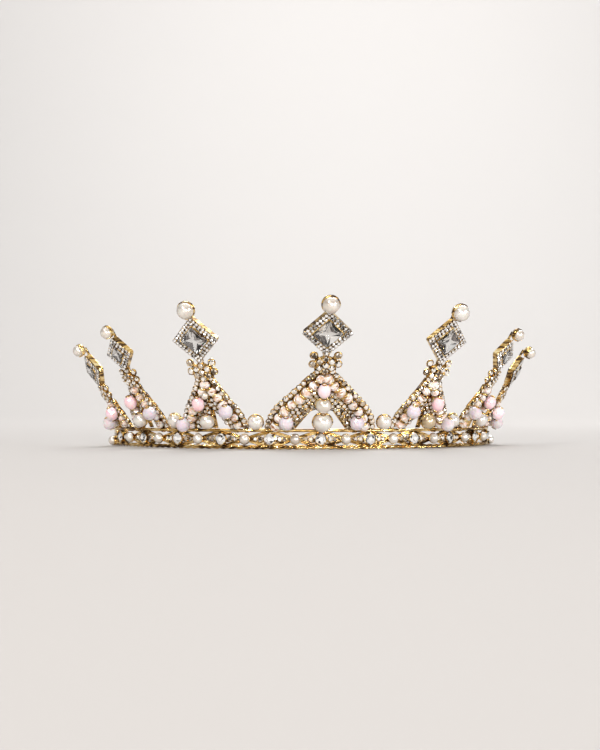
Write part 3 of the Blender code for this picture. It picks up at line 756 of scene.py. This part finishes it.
def makeBand():
    look = bandLook
    reach, pitch = crown["bandArc"], crown["stonePitch"]
    openArc = reach - crown["endPlate"]
    middle = 0.5 * crown["bandHeight"]
    top = crown["bandHeight"] - look["rail"]
    rails = [bandRoute(reach, lambda arc: top - drop, lambda arc: out) for drop, out in look["rails"]]
    waves = [
        bandRoute(
            openArc,
            lambda arc: middle + sign * ((middle - look["waveIn"]) * math.cos(math.pi * arc / pitch) + shift),
            lambda arc: look["waveOut"] + sign * look["weave"] * math.sin(math.pi * arc / pitch),
        )
        for sign in (1.0, -1.0) for shift in look["waveShifts"]
    ]
    bend = 2.0 * math.pi / look["braidPitch"]
    braid = [
        bandRoute(
            reach,
            lambda arc: look["braidUp"] + look["braidSwing"] * math.sin(bend * arc + turn),
            lambda arc: look["braidDeep"] * math.cos(bend * arc + turn),
        )
        for turn in (0.0, 2.0 * math.pi / 3.0, 4.0 * math.pi / 3.0)
    ]
    stones, corners, pearls, collars = [], [], [], []
    count = int(2.0 * openArc / pitch)
    for index in range(-count, count + 1):
        arc = 0.5 * pitch * index
        if index % 2:
            pearls.append((bandSeat(arc, middle, look["pearlOut"]), look["pearl"]))
            collars.append([bandSpot(arc, middle + up, 0.0002) for up in (-0.0012, 0.0, 0.0012)])
            continue
        stones.append((bandSeat(arc, middle, look["stoneOut"]), look["stone"]))
        for side in (-1, 1):
            for away, size in look["cornerStones"]:
                if abs(arc + side * away) < openArc:
                    corners.append((bandSeat(arc + side * away, middle, look["cornerOut"]), size))
    for side in (-1, 1):
        pearls.append((bandSeat(side * (reach - 0.3 * crown["endPlate"]), *look["endPearl"]), look["pearl"]))
    items = [
        wires(rails, look["rail"], goldPlate, 10),
        wires(waves, look["wave"], goldWire),
        wires(braid, look["braid"], goldWire),
        setOn("cups", stones, "cup", gapShadeGold),
        *setStones(corners, armStones, gapShadeGold, 0.12, 4),
        windings(collars, **look["collar"]),
        setOn("pearls", pearls, "pearl", ivoryPearl, 0.3, 5),
        setOn("bowls", pearls, "bowl", goldPlate),
        endPlates(),
    ]
    eyeStones(stones)
    hand(joined("jewelled_band", items), "gold_metal", "band")


# The inner strip and the tie wires

stripLook = {"height": 0.0014, "thick": 0.0008, "rise": 0.0029, "bevel": 0.00018, "columns": 200}
tieLook = {
    "wire": 0.0012,
    "length": 0.0215,
    "turnIn": 0.0026,
    "loopLength": 0.0095,
    "loopHeight": 0.0052,
    "joint": (-0.0016, 0.0, 0.0022),
    "binding": {"radius": 0.00088, "pitch": 0.00036, "wire": 0.00017},
}
stripOut = -0.5 * crown["bandThick"] - crown["stripGap"] - 0.5 * stripLook["thick"]
stripReach = crown["bandArc"] - 0.5 * crown["endPlate"]


def makeStrip():
    # a flat drawn strip, its corners rounded
    look = stripLook
    tall, thick, cut = 0.5 * look["height"], 0.5 * look["thick"], look["bevel"]
    profile = (
        (-tall, -thick + cut), (-tall, thick - cut), (-tall + cut, thick), (tall - cut, thick),
        (tall, thick - cut), (tall, -thick + cut), (tall - cut, -thick), (-tall + cut, -thick),
    )
    places = np.linspace(-stripReach, stripReach, look["columns"] + 1)
    seats = [bandSeat(arc, look["rise"], stripOut) for arc in places]
    shape = loft([[seat @ Vector((0.0, up, out)) for up, out in profile] for seat in seats], caps=True)[0]
    hand(meshItem("inner_strip_drawn", shape, [goldPlate], sharp=35.0), "gold_metal", "inner_strip")


def tieRoute(side):
    # runs on from the strip, turns in a little and ends in an oval loop
    look, rise = tieLook, stripLook["rise"]
    start = stripReach + crown["clearance"]
    route = []
    for share in np.linspace(0.0, 1.0, 13):
        arc = start + share * (look["length"] - look["loopLength"])
        route.append(bandSpot(side * arc, rise, stripOut - look["turnIn"] * share * share))
    middle = start + look["length"] - 0.5 * look["loopLength"] + 0.5 * look["wire"]
    for cosine, sine, flat in ring(33, 0.5, turn=0.5):
        arc = middle - (look["loopLength"] - look["wire"]) * cosine
        up = rise + (look["loopHeight"] - look["wire"]) * sine
        route.append(bandSpot(side * arc, up, stripOut - look["turnIn"]))
    return route


def makeTies():
    look = tieLook
    for word, side in (("left", -1), ("right", 1)):
        route = tieRoute(side)
        joint = [bandSpot(side * (stripReach + shift), stripLook["rise"], stripOut)
                 for shift in look["joint"]]
        drawn = wires([route], 0.5 * look["wire"], goldWire, 12)
        bound = windings([joint, route[9:13]], **look["binding"])
        hand(joined("tie_wire_with_loop_" + word, [drawn, bound]), "gold_metal", "tie_wire_" + word)


# The prongs

armLook = {
    "stoneOut": 0.0006,
    "stoneIn": 0.00022,
    "beadIn": 0.0002,
    "beadOut": 0.0003,
    "fillIn": 0.0001,
    "stoneEnds": (0.0010, 0.0002),
    "beadEnds": (0.0018, 0.0012),
    "fillEnds": (0.0012, 0.0018),
    "lacePitch": 0.0016,
    "laceEnds": (0.0004, 0.0004),
    "laceIn": 0.0003,
    "besidePost": 0.0007,
    "back": -0.00056,
}
wireLook = {"edge": 0.00036, "inner": 0.00024, "lace": 0.00016, "post": 0.000442, "leaf": 0.00062}
postWinding = {"radius": 0.00055, "pitch": 0.00042, "wire": 0.00014}
footWinding = {"radius": 0.00078, "pitch": 0.00036, "wire": 0.00014}


def armLine(prong, inset):
    # the right arm's edge from its foot to the neck, moved in by an inset
    half, arm = prong["halfFoot"], prong["armUp"]
    corners = [Vector((across * half, up * arm)) for across, up in tentOutline]
    corners.append(Vector((0.5 * crown["neckWidth"], arm)))
    for repeat in range(2):
        soft = [corners[0]]
        for first, second in zip(corners, corners[1:]):
            soft.extend((first.lerp(second, 0.25), first.lerp(second, 0.75)))
        corners = soft + [corners[-1]]
    line = []
    for index, corner in enumerate(corners):
        way = (corners[min(index + 1, len(corners) - 1)] - corners[max(index - 1, 0)]).normalized()
        line.append(corner + Vector((-way.y, way.x)) * inset)
    return line


def measured(line):
    # a line's length, and its points by the distance along it
    lengths = [0.0]
    for first, second in zip(line, line[1:]):
        lengths.append(lengths[-1] + (second - first).length)
    columns = [[point.x for point in line], [point.y for point in line]]
    return lengths[-1], lambda at: [float(np.interp(at, lengths, column)) for column in columns]


def evenPoints(line, count):
    # the same number of points along any line
    total, spotAt = measured(line)
    return [Vector(spotAt(at)) for at in np.linspace(0.0, total, count)]


def walkLine(line, pitch, start, stop):
    # points evenly along a line, from a distance in to a distance before its end, and its slope there
    total, spotAt = measured(line)
    total = total - start - stop
    if total <= 0.0:
        return []
    count = max(1, int(round(total / pitch)))
    places = []
    for index in range(count + 1):
        at = start + total * index / count
        across, up = spotAt(at)
        nextAcross, nextUp = spotAt(at + 0.0001)
        places.append((across, up, math.atan2(nextUp - up, nextAcross - across)))
    return places


def inNotch(prong, across, up):
    # whether a place lies over the opening beside the middle post
    reach, top, away = prong["halfNotch"], prong["notchUp"], abs(across)
    if up > top or away > reach or away < 0.0009:
        return False
    if away < 0.45 * reach:
        return up < top * (1.0 - 0.15 * away / (0.45 * reach))
    return up < 0.85 * top * (reach - away) / (0.55 * reach)


def beadPlaces():
    # centre and radius of every pearl and bead in front of the prongs
    boxes = [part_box(node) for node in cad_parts
             if not node.startswith(("stone", "prong", "band", "inner_strip", "tie"))]
    return [(0.5 * (low + high), 0.5 * max(high - low)) for low, high in boxes]


beadList = beadPlaces()
uneven = random.Random(11)


def clearOfBeads(seat, radius):
    return all((seat.translation - centre).length > 0.86 * (radius + size) for centre, size in beadList)


def armRow(prong, side, inset, pitch, ends, out, turn=0.0):
    # places across and up, and seats, along one row of an arm
    for across, up, angle in walkLine(armLine(prong, inset), pitch, *ends):
        angle = angle if side > 0 else math.pi - angle
        yield across, up, prongSeat(prong, side * across, up, out, angle + turn)


def armSeats(prong, side):
    # seats of the outer stones, the clear beads and the small filling stones
    look, stone, bead, fill = armLook, prong["stone"], prong["bead"], prong["fill"]
    stones, beads, fills = [], [], []
    inset = 0.5 * stone - look["stoneIn"]
    row = armRow(prong, side, inset, stone * 1.04, look["stoneEnds"], look["stoneOut"])
    for across, up, seat in row:
        if clearOfBeads(seat, 0.4 * stone):
            seat.translation += seat.col[2].xyz * uneven.uniform(0.0, 0.0003)
            stones.append((seat, stone * uneven.uniform(0.88, 1.06)))
    row = armRow(prong, side, stone + 0.5 * bead - look["beadIn"], bead * 0.98, look["beadEnds"],
                 0.5 * bead - look["beadOut"], -0.5 * math.pi)
    for across, up, seat in row:
        if clearOfBeads(seat, 0.30 * bead) and across > -0.0002:
            seat.translation += seat.col[0].xyz * uneven.uniform(-0.00025, 0.00025)
            beads.append((seat, bead * uneven.uniform(0.84, 1.12)))
    for order in range(prong["rows"]):
        inset = stone + bead + (0.5 + order) * fill - look["fillIn"]
        for across, up, seat in armRow(prong, side, inset, fill * 1.1, look["fillEnds"], look["stoneOut"]):
            if across < 0.0004 or inNotch(prong, across, up + 0.0004):
                continue
            if clearOfBeads(seat, 0.3 * fill):
                fills.append((seat, fill))
    return stones, beads, fills


def armWires(prong, side):
    # edge wire, inner wires and the lacing behind the stones
    def laid(points, out):
        return [prongSpot(prong, side * point.x, max(point.y, 0.0), out) for point in points]

    look, wide = armLook, prong["armWide"]
    edge = laid(armLine(prong, 0.00055), 0.0)
    between = laid(armLine(prong, prong["stone"] + 0.0001), -0.0001)
    inner = laid([point for point in armLine(prong, wide) if point.x > 0.0006], 0.0)
    walks = [walkLine(armLine(prong, inset), look["lacePitch"], *look["laceEnds"])
             for inset in (wide, look["laceIn"])]
    count = min(len(walk) for walk in walks)
    lacing = []
    for index in range(count):
        line = walks[index % 2]
        across, up, angle = line[int(index * (len(line) - 1) / max(count - 1, 1))]
        if index % 2 == 0 and (across < 0.0006 or inNotch(prong, across, up)):
            continue
        lacing.append(prongSpot(prong, side * across, up, look["back"]))
    return edge, [between, inner], lacing


def notchWire(prong, side):
    # the wire round one opening beside the middle post
    reach, top = prong["halfNotch"], prong["notchUp"]
    near = armLook["besidePost"]
    corners = [Vector(spot) for spot in (
        (near, 0.0), (near, top), (0.45 * reach, 0.85 * top), (reach, 0.0),
    )]
    spots = [first.lerp(second, share) for first, second in zip(corners, corners[1:])
             for share in (0.0, 0.2, 0.4, 0.6, 0.8)]
    return [prongSpot(prong, side * spot.x, spot.y, 0.0001) for spot in spots + [corners[-1]]]


plateLook = {"layers": (-0.00010, -0.00050), "edge": 0.00045, "steps": 26, "columns": 5}


def armPlates(prong):
    # thin pressed plates behind the stones of both arms, open at the notches
    look = plateLook
    reach, top = prong["halfNotch"], prong["notchUp"]
    inner = [Vector(place) for place in (
        (reach + 0.0002, 0.0), (0.45 * reach + 0.0002, 0.85 * top + 0.0002),
        (armLook["besidePost"], top + 0.0002), (0.0003, top + 0.0008), (0.0003, prong["armUp"]),
    )]
    lines = [evenPoints(line, look["steps"]) for line in (armLine(prong, look["edge"]), inner)]
    end, last = look["steps"] - 1, look["columns"] - 1
    rim = [(0, column) for column in range(last)] + [(index, last) for index in range(end)]
    rim += [(end, column) for column in range(last, 0, -1)] + [(index, 0) for index in range(end, 0, -1)]
    shape = bmesh.new()
    for side in (-1, 1):
        grids = []
        for out in look["layers"]:
            grid = {}
            for index, (far, near) in enumerate(zip(*lines)):
                for column in range(last + 1):
                    spot = far.lerp(near, column / last)
                    place = prongSpot(prong, side * spot.x, max(spot.y, 0.0), out)
                    grid[index, column] = shape.verts.new(place)
            grids.append(grid)
        for index in range(end):
            for column in range(last):
                corners = ((index, column), (index, column + 1), (index + 1, column + 1), (index + 1, column))
                # front faces take the darkened cup gold, painted shade behind the stones; back faces the
                # burnished gold
                for order, grid in enumerate(grids):
                    shape.faces.new([grid[corner] for corner in corners]).material_index = 1 - order
        front, back = grids
        for here, after in zip(rim, rim[1:] + rim[:1]):
            shape.faces.new((front[here], front[after], back[after], back[here]))
    return meshItem("arm plates", shape, [goldBack, gapShadeGold], sharp=40.0)


flowerLook = {
    "petal": 0.0021,
    "petalRing": 0.0022,
    "petalOut": 0.0013,
    "middleOut": 0.0017,
    "drop": 0.0011,
    "neckStone": 0.0040,
    "sideStone": 0.0022,
    "sideRing": 0.00116,
    "sideOut": 0.0010,
    "sides": ((0.0038, 0.0033), (0.0040, 0.0002)),
    "leaf": 0.0031,
    "plate": 0.0034,
    "plateOuts": (0.0009, 0.0004),
}


def flowerSeat(prong, across, up, out):
    small = prong["small"]
    return prongSeat(prong, across * small, prong["flowerUp"] - flowerLook["drop"] + up * small, out)


def flowerPlate(prong):
    # a thin lobed plate that carries the rosette and the ringed stones
    lobes = []
    for cosine, sine, flat in ring(48, flowerLook["plate"]):
        swell = 1.0 + 0.16 * math.cos(6.0 * math.atan2(sine, cosine) + math.pi)
        lobes.append((cosine * swell, sine * swell))
    rings = [[flowerSeat(prong, *lobe, out).translation for lobe in lobes]
             for out in flowerLook["plateOuts"]]
    # the plate is in the darkened cup gold, painted shade behind the rosette
    return meshItem("flower plate", loft(rings, caps=True)[0], [gapShadeGold])


def flowerPieces(prong):
    # seven small stones as a rosette, a stone on its neck and two ringed stones at each side
    look, small = flowerLook, prong["small"]

    def leaf(across, up, root, tip):
        return [flowerSeat(prong, root * across, root * up, 0.0006).translation,
                flowerSeat(prong, across, up, tip).translation]

    places = [(0.0, 0.0, look["middleOut"])]
    places += [(across, up, look["petalOut"]) for across, up, flat in ring(6, look["petalRing"], turn=0.5)]
    places.append((0.0, look["neckStone"], look["sideOut"]))
    seats = [(flowerSeat(prong, *place), look["petal"] * small) for place in places]
    leaves = [leaf(across, up, 0.2, 0.0011) for across, up, flat in ring(6, look["leaf"])]
    loops = []
    for across, up in look["sides"]:
        for side in (-1, 1):
            seats.append((flowerSeat(prong, side * across, up, look["sideOut"]), look["sideStone"] * small))
            loops.append(([flowerSeat(prong, side * across + x, up + y, 0.0008).translation
                           for x, y, flat in ring(14, look["sideRing"])], True))
            leaves.append(leaf(side * across, up, 0.4, 0.0006))
    return seats, loops, leaves


haloLook = {
    "pave": 0.00118,
    "rows": ((0.00059, 0.0017, 1.04), (0.00162, 0.0018, 0.96)),
    "bezel": 0.0021,
    "backIn": 0.0010,
}


def haloSeats(prong):
    # two rows of small stones round the square border
    seats = []
    for inset, out, share in haloLook["rows"]:
        half = 0.5 * prong["halo"] - inset
        count = int(2.0 * half / (haloLook["pave"] * 1.02))
        for side in range(4):
            turn = Matrix.Rotation(math.radians(45.0 + 90.0 * side), 3, "Z")
            for index in range(count):
                spot = turn @ Vector((half, -half + 2.0 * half * index / count, 0.0))
                seat = prongSeat(prong, spot.x, prong["stoneUp"] + spot.y, out, math.radians(45.0))
                seats.append((seat, haloLook["pave"] * share))
    return seats


def haloTray(prong):
    # the tray behind the stones and the bright square line round the middle one
    seat = prongSeat(prong, 0.0, prong["stoneUp"], 0.0, math.radians(45.0))
    half = 0.5 * prong["halo"]
    inside = half - haloLook["bezel"]
    profile = (
        (half - 0.0002, -0.0005), (half, -0.0002), (half, 0.0013), (half - 0.0002, 0.0015),
        (inside + 0.0004, 0.0016), (inside + 0.00025, 0.0021), (inside + 0.00002, 0.0022),
        (inside - 0.00012, 0.0019), (inside - 0.00012, 0.0002),
    )
    rings = []
    for reach, out in profile:
        short = reach - (0.0005 if reach > inside + 0.0003 else 0.0004)
        corners = ((reach, short), (short, reach), (-short, reach), (-reach, short))
        points = [(x, y, out) for x, y in corners] + [(-x, -y, out) for x, y in corners]
        rings.append([seat @ Vector(point) for point in points])
    shape, faces = loft(rings, caps=True)
    # the tray faces under and between the stones take the darkened halo metal as painted shade; the outer
    # sides and bezel take plated gold
    for order, face in enumerate(faces[:-2]):
        face.material_index = 0 if 2 <= order // 8 <= 3 else 1
    faces[-2].material_index = 2
    return meshItem("halo tray", shape, [gapShadeHaloMetal, goldPlate, goldBack])


def haloBack(prong):
    # a square wire and a cross behind the tray
    reach = (0.5 * prong["halo"] - haloLook["backIn"]) * math.sqrt(2.0)
    spots = [prongSpot(prong, x, prong["stoneUp"] + y, armLook["back"])
             for x, y, flat in ring(4, reach, turn=1.0)]
    return [(spots, True), [spots[0], spots[2]], [spots[1], spots[3]]]


tipBowl = {"outer": 0.00045, "inner": 0.00012, "first": 10.0, "step": 9.5, "rows": 6, "sides": 18}


def tipPieces(prong):
    # the post, and the bowl that holds the pearl from behind
    up, half = prong["tipUp"], 0.5 * prong["pearl"]
    start = prongSpot(prong, 0.0, prong["stoneUp"] + 0.62 * prong["halo"], 0.0)
    post = [start, prongSpot(prong, 0.0, up, 0.0003)]
    seat = prongSeat(prong, 0.0, up, 0.5 * crown["prongThick"] + crown["clearance"] + half)
    rings = bowlRings(*dict(tipBowl, outer=half + tipBowl["outer"], inner=half + tipBowl["inner"]).values())
    shape = loft([[seat @ Vector(point) for point in points] for points in rings], caps=True)[0]
    return post, meshItem("tip bowl", shape, [goldPlate], smooth=True)


def makeProng(name, prong, seed):
    stones, beads, fills, edges, inners, lacings, feet = [], [], [], [], [], [], []
    for side in (-1, 1):
        for whole, part in zip((stones, beads, fills), armSeats(prong, side)):
            whole.extend(part)
        edge, inner, lacing = armWires(prong, side)
        edges.append(edge)
        inners.extend(inner)
        lacings.append(lacing)
        inners.append(notchWire(prong, side))
        for share in (0.62, 0.93):
            arc = prong["arc"] + side * share * prong["halfFoot"]
            feet.append([bandSpot(arc + shift, crown["bandHeight"] - 0.0005, 0.0)
                         for shift in (-0.0007, 0.0, 0.0007)])
    post = [prongSpot(prong, 0.0, up, 0.0) for up in np.linspace(0.0, prong["stoneUp"], 14)]
    flower, loops, leaves = flowerPieces(prong)
    postTip, bowl = tipPieces(prong)
    metal = [
        wires(edges, wireLook["edge"], goldWire),
        wires(inners + loops, wireLook["inner"], goldWire, 6),
        wires(haloBack(prong), wireLook["inner"], gapShadeHaloMetal, 6),
        wires(lacings, wireLook["lace"], goldWire, 5),
        wires([post, postTip], wireLook["post"], goldWire),
        wires(leaves, wireLook["leaf"], gapShadeGold, 6),
        windings([post], **postWinding),
        windings(feet, **footWinding),
        haloTray(prong),
        armPlates(prong),
        flowerPlate(prong),
        bowl,
    ]
    small = []
    for order, (seats, finish, cupFinish, tilt) in enumerate((
        (stones, armStones, gapShadeGold, 0.16), (fills, armStones, gapShadeGold, 0.22),
        (flower, armStones, gapShadeGold, 0.10), (haloSeats(prong), clearStones, gapShadeHaloMetal, 0.12),
    )):
        cut, cups = setStones(seats, finish, cupFinish, tilt, seed + 10 * order)
        small.append(cut)
        metal.append(cups)
    hand(joined("metalwork_" + name, metal), "gold_metal", "prong_" + name)
    hand(joined("small_stones_" + name, small), "clear_crystal")
    hand(setOn("peach_beads_" + name, beads, "peach", peachGlass, 0.35, seed + 40), "opal_glass")
    between = []
    for (seat, size), (nextSeat, nextSize) in zip(beads, beads[1:]):
        gap = nextSeat.translation - seat.translation
        if gap.length <= 1.3 * size:
            turn = gap.to_track_quat("X", "Z").to_matrix().to_4x4()
            turn.translation = seat.translation.lerp(nextSeat.translation, 0.5)
            between.append((turn, 0.9 * size))
    hand(setOn("bead_spacers_" + name, between, "spacer", goldWire, 0.2, seed + 50), "gold_metal")


# The seven square stones

squareCut = {
    "corner": 0.10,
    "table": 0.37,
    "crown": 0.13,
    "girdle": 0.04,
    "arm": (0.66, 0.075),
    "waist": (0.16, 0.125),
    "depth": 0.15,
    "out": 0.0018,
    # painted reflection: the brightness of each foil facet, one list for alternate quarters, dark between
    # bright star arms; the glass faces get nought
    "paintedStar": (
        (0.0, 0.0, 0.0, 0.0, 0.40, 0.14, 0.60, 0.20, 0.98, 0.45),
        (0.0, 0.0, 0.0, 0.0, 0.90, 0.30, 0.10, 0.50, 0.50, 0.98),
    ),
}


def makeSquareStone(name, prong):
    # glass over foil; the foil's facets carry painted brightness that makes a four-pointed star of painted
    # reflection inside the bright line
    cut = squareCut
    side = prong["halo"] - 2.0 * haloLook["bezel"] + 0.0002
    shape = bmesh.new()

    def row(points, height):
        # the points of one quarter, repeated round the stone
        turned = [Matrix.Rotation(math.radians(90.0 * index), 2) @ Vector(point)
                  for index in range(4) for point in points]
        return [shape.verts.new((spot.x, spot.y, height)) for spot in turned]

    near, reach = 0.5 - cut["corner"], 0.5 * cut["arm"][0]
    low = row(((0.5, near), (near, 0.5)), 0.0)
    high = row(((0.5, near), (near, 0.5)), cut["girdle"])
    top = row(((cut["table"], cut["table"]),), cut["girdle"] + cut["crown"])
    arms = row(((reach, reach),), -cut["arm"][1])
    waists = row(((0.0, cut["waist"][0]),), -cut["waist"][1])
    tip = shape.verts.new((0.0, 0.0, -cut["depth"]))
    facets = []
    for index in range(4):
        first, far, after, turned = 2 * index, 2 * index + 1, (2 * index + 2) % 8, (index + 1) % 4
        arm, nextArm, waist = arms[index], arms[turned], waists[index]
        for corners in (
            (low[first], low[far], high[far], high[first]), (low[far], low[after], high[after], high[far]),
            (high[first], high[far], top[index]), (high[far], high[after], top[turned], top[index]),
        ):
            shape.faces.new(corners)
        for corners in (
            (low[far], low[first], arm), (low[far], arm, waist), (low[far], waist, low[after]),
            (low[after], waist, nextArm), (tip, waist, arm), (tip, nextArm, waist),
        ):
            shape.faces.new(corners).material_index = 1
        # each quarter's facets take their painted brightness for the star
        facets.extend(cut["paintedStar"][index % 2])
    shape.faces.new(top)
    seat = prongSeat(prong, 0.0, prong["stoneUp"], cut["out"], math.radians(45.0))
    bmesh.ops.transform(shape, matrix=seat @ Matrix.Scale(side, 4), verts=shape.verts)
    item = meshItem("square_stone_" + name, shape, [tableGlass, foilBack])
    hand(markFacets(item, facets + [0.0]), "clear_crystal", "stone_" + name)


# Pearls and beads in front

beadLook = {
    "creamPearls": ("pearl_right_inner",),
    "pinkTall": 0.0050,
    "eyelet": 0.00075,
    "eyeletWire": 0.00020,
    "neckPearl": 0.0023,
    "postWire": 0.00045,
    "cupped": 0.0064,
}
beadKinds = {
    "ivory": ("ivory_pearls", "pearl", ivoryPearl, "ivory_pearl"),
    "cream": ("cream_pearls", "pearl", creamPearl, "ivory_pearl"),
    "opal": ("opal_beads", "opal", opalGlass, "opal_glass"),
    "pink": ("pink_beads", "pink", pinkGlass, "pink_glass"),
}


def beadSeat(node):
    # centre, own size and a frame whose Y runs up the prong that it stands on
    low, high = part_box(node)
    centre = 0.5 * (low + high)
    place = Vector((centre.x, centre.y - crown["middleY"], 0.0))
    half, deep = 0.5 * crown["width"], crown["frontDepth"]
    outward = Vector((place.x / half ** 2, place.y / deep ** 2, 0.0)).normalized()
    near = min(prongs.values(), key=lambda prong: (prongSpot(prong, 0.0, 0.0, 0.0) - centre).length)
    rising, facing = leanBy(outward, near["leanNow"])
    size = beadLook["pinkTall"] if "pink" in node else high.z - low.z
    return seatAt(centre, rising.cross(facing), rising, facing), size


def makeBeads():
    look = beadLook
    kinds = {kind: [] for kind in beadKinds}
    nodes = {kind: [] for kind in beadKinds}
    eyelets = []
    for node in sorted(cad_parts):
        found = [word for word in ("pearl", "opal", "pink") if word in node]
        if not found:
            continue
        kind = found[0] if found[0] != "pearl" else "cream" if node in look["creamPearls"] else "ivory"
        seat, size = beadSeat(node)
        kinds[kind].append((seat, size * 1.01))
        nodes[kind].append(node)
        for end in (-1,) if node.startswith("tip") else (-1, 1):
            loop = [seat @ Vector((x, end * 0.485 * size, z)) for x, z, flat in ring(12, look["eyelet"])]
            eyelets.append((loop, True))
    for kind, (name, source, finish, slot) in beadKinds.items():
        hand(setOn(name, kinds[kind], source, finish, 0.12, 7), slot, *nodes[kind])
    cupped = [pair for pair in kinds["ivory"] + kinds["cream"] if pair[1] < look["cupped"]]
    foot = bandSpot(0.0, crown["bandHeight"] - 0.0006, 0.0003)
    big = beadSeat("big_pearl_front")[0].translation
    items = [
        setOn("bowls", cupped, "bowl", goldPlate),
        wires(eyelets, look["eyeletWire"], goldWire, 5),
        wires([[foot, big]], look["postWire"], goldPlate, 10),
    ]
    hand(joined("pearl_cups_and_eyelets", items), "gold_metal")
    inner = prongs["left_inner"]
    neck = [(prongSeat(inner, 0.0, 0.70 * inner["armUp"], 0.0030), look["neckPearl"])]
    hand(setOn("neck_pearl", neck, "pearl", ivoryPearl), "ivory_pearl")


makeBand()
print("band is set")
makeStrip()
makeTies()
print("strip and tie wires are drawn")
for order, (name, prong) in enumerate(prongs.items()):
    makeProng(name, prong, 100 * order + 1)
    makeSquareStone(name, prong)
print("prongs are set")
makeBeads()
print("pearls and beads are strung")
for source in sources.values():
    bpy.data.objects.remove(source, do_unlink=True)

# Floor, light and camera

room = {"floor": (0.46, 0.438, 0.424), "width": 6.0, "front": -1.3, "back": 1.6, "bend": 0.8, "high": 3.0}


def makeRoom():
    # a pale sweep: floor, a wide bend and a wall, in one smooth sheet
    bend = room["bend"]
    profile = [(room["front"], 0.0), (0.0, 0.0), (room["back"] - bend, 0.0)]
    for index in range(1, 13):
        angle = math.radians(90.0 * index / 12.0)
        profile.append((room["back"] - bend + bend * math.sin(angle), bend - bend * math.cos(angle)))
    profile.append((room["back"], room["high"]))
    shape = bmesh.new()
    rows = [[shape.verts.new((side * 0.5 * room["width"], y, z)) for side in (-1, 1)] for y, z in profile]
    for low, high in zip(rows, rows[1:]):
        shape.faces.new((low[0], low[1], high[1], high[0]))
    mesh = bpy.data.meshes.new("pale sweep")
    shape.to_mesh(mesh)
    shape.free()
    mesh.shade_smooth()
    finish, tree, shader = newFinish("matt pale sweep", Roughness=0.75)
    stops = ((0.3, tuple(0.985 * value for value in room["floor"])), (0.7, room["floor"]))
    tintBy(tree, addNoise(tree, 1.2, 3.0), stops, shader["Base Color"])
    mesh.materials.append(finish)
    addItem("pale_sweep", mesh)


# One row for each lamp: name, place, size, power and colour, and where it aims
aim = (0.0, 0.0, 0.02)
lamps = (
    ("key", (-0.42, -0.55, 0.55), 0.09, 4.2, (1.0, 0.97, 0.93), aim),
    ("fill", (0.70, -0.55, 0.30), 0.12, 2.6, (0.97, 0.98, 1.0), aim),
    ("back", (0.15, 0.65, 0.70), 0.30, 1.3, (1.0, 0.98, 0.96), aim),
    ("front strip", (0.12, -0.80, 0.08), 0.10, 2.4, (1.0, 1.0, 1.0), aim),
    ("low right", (0.52, -0.62, 0.06), 0.07, 1.2, (1.0, 0.99, 0.96), aim),
    ("window", (-0.30, -1.50, 0.40), 0.70, 2.4, (1.0, 1.0, 1.0), aim),
    ("wall", (0.3, 0.7, 1.5), 1.4, 36.0, (0.97, 0.99, 1.0), (0.3, 1.4, 0.8)),
)
skyStops = (
    (0.50, (0.70, 0.69, 0.68)), (0.60, (0.66, 0.65, 0.64)), (0.66, (0.05, 0.05, 0.05)),
    (0.80, (0.07, 0.07, 0.07)), (0.90, (0.70, 0.69, 0.67)), (1.0, (0.90, 0.89, 0.87)),
)
shot = {"azimuth": -5.8, "height": 0.014, "distance": 0.456, "lens": 57.6, "aimUp": 0.026}


def turnTo(item, target):
    item.rotation_euler = (Vector(target) - item.location).to_track_quat("-Z", "Y").to_euler()


def makeLamps():
    for name, place, size, power, colour, target in lamps:
        lamp = bpy.data.lights.new(name, "AREA")
        lamp.size = size
        lamp.energy = power
        lamp.color = colour
        item = addItem(name, lamp)
        item.location = place
        turnTo(item, target)
    scene.world = bpy.data.worlds.new("soft studio")
    scene.world.use_nodes = True
    tree = scene.world.node_tree
    back = tree.nodes["Background"].inputs
    place = addNode(tree, "ShaderNodeTexCoord").outputs["Generated"]
    split = addNode(tree, "ShaderNodeSeparateXYZ", {"Vector": place})
    level = addNode(tree, "ShaderNodeMapRange", {"From Min": -1.0, "Value": split.outputs["Z"]})
    tintBy(tree, level.outputs["Result"], skyStops, back["Color"])
    back["Strength"].default_value = 0.85


def makeCamera():
    lens = bpy.data.cameras.new("shot")
    lens.lens = shot["lens"]
    lens.sensor_width = 36.0
    lens.sensor_fit = "AUTO"
    lens.clip_start = 0.01
    item = addItem("shot", lens)
    turn = math.radians(shot["azimuth"])
    centre = Vector((0.0, crown["middleY"], shot["aimUp"]))
    item.location = centre + Vector((math.sin(turn), -math.cos(turn), 0.0)) * shot["distance"]
    item.location.z = shot["height"]
    turnTo(item, centre)
    scene.camera = item
    scene.view_settings.view_transform = "Standard"


makeRoom()
makeLamps()
makeCamera()
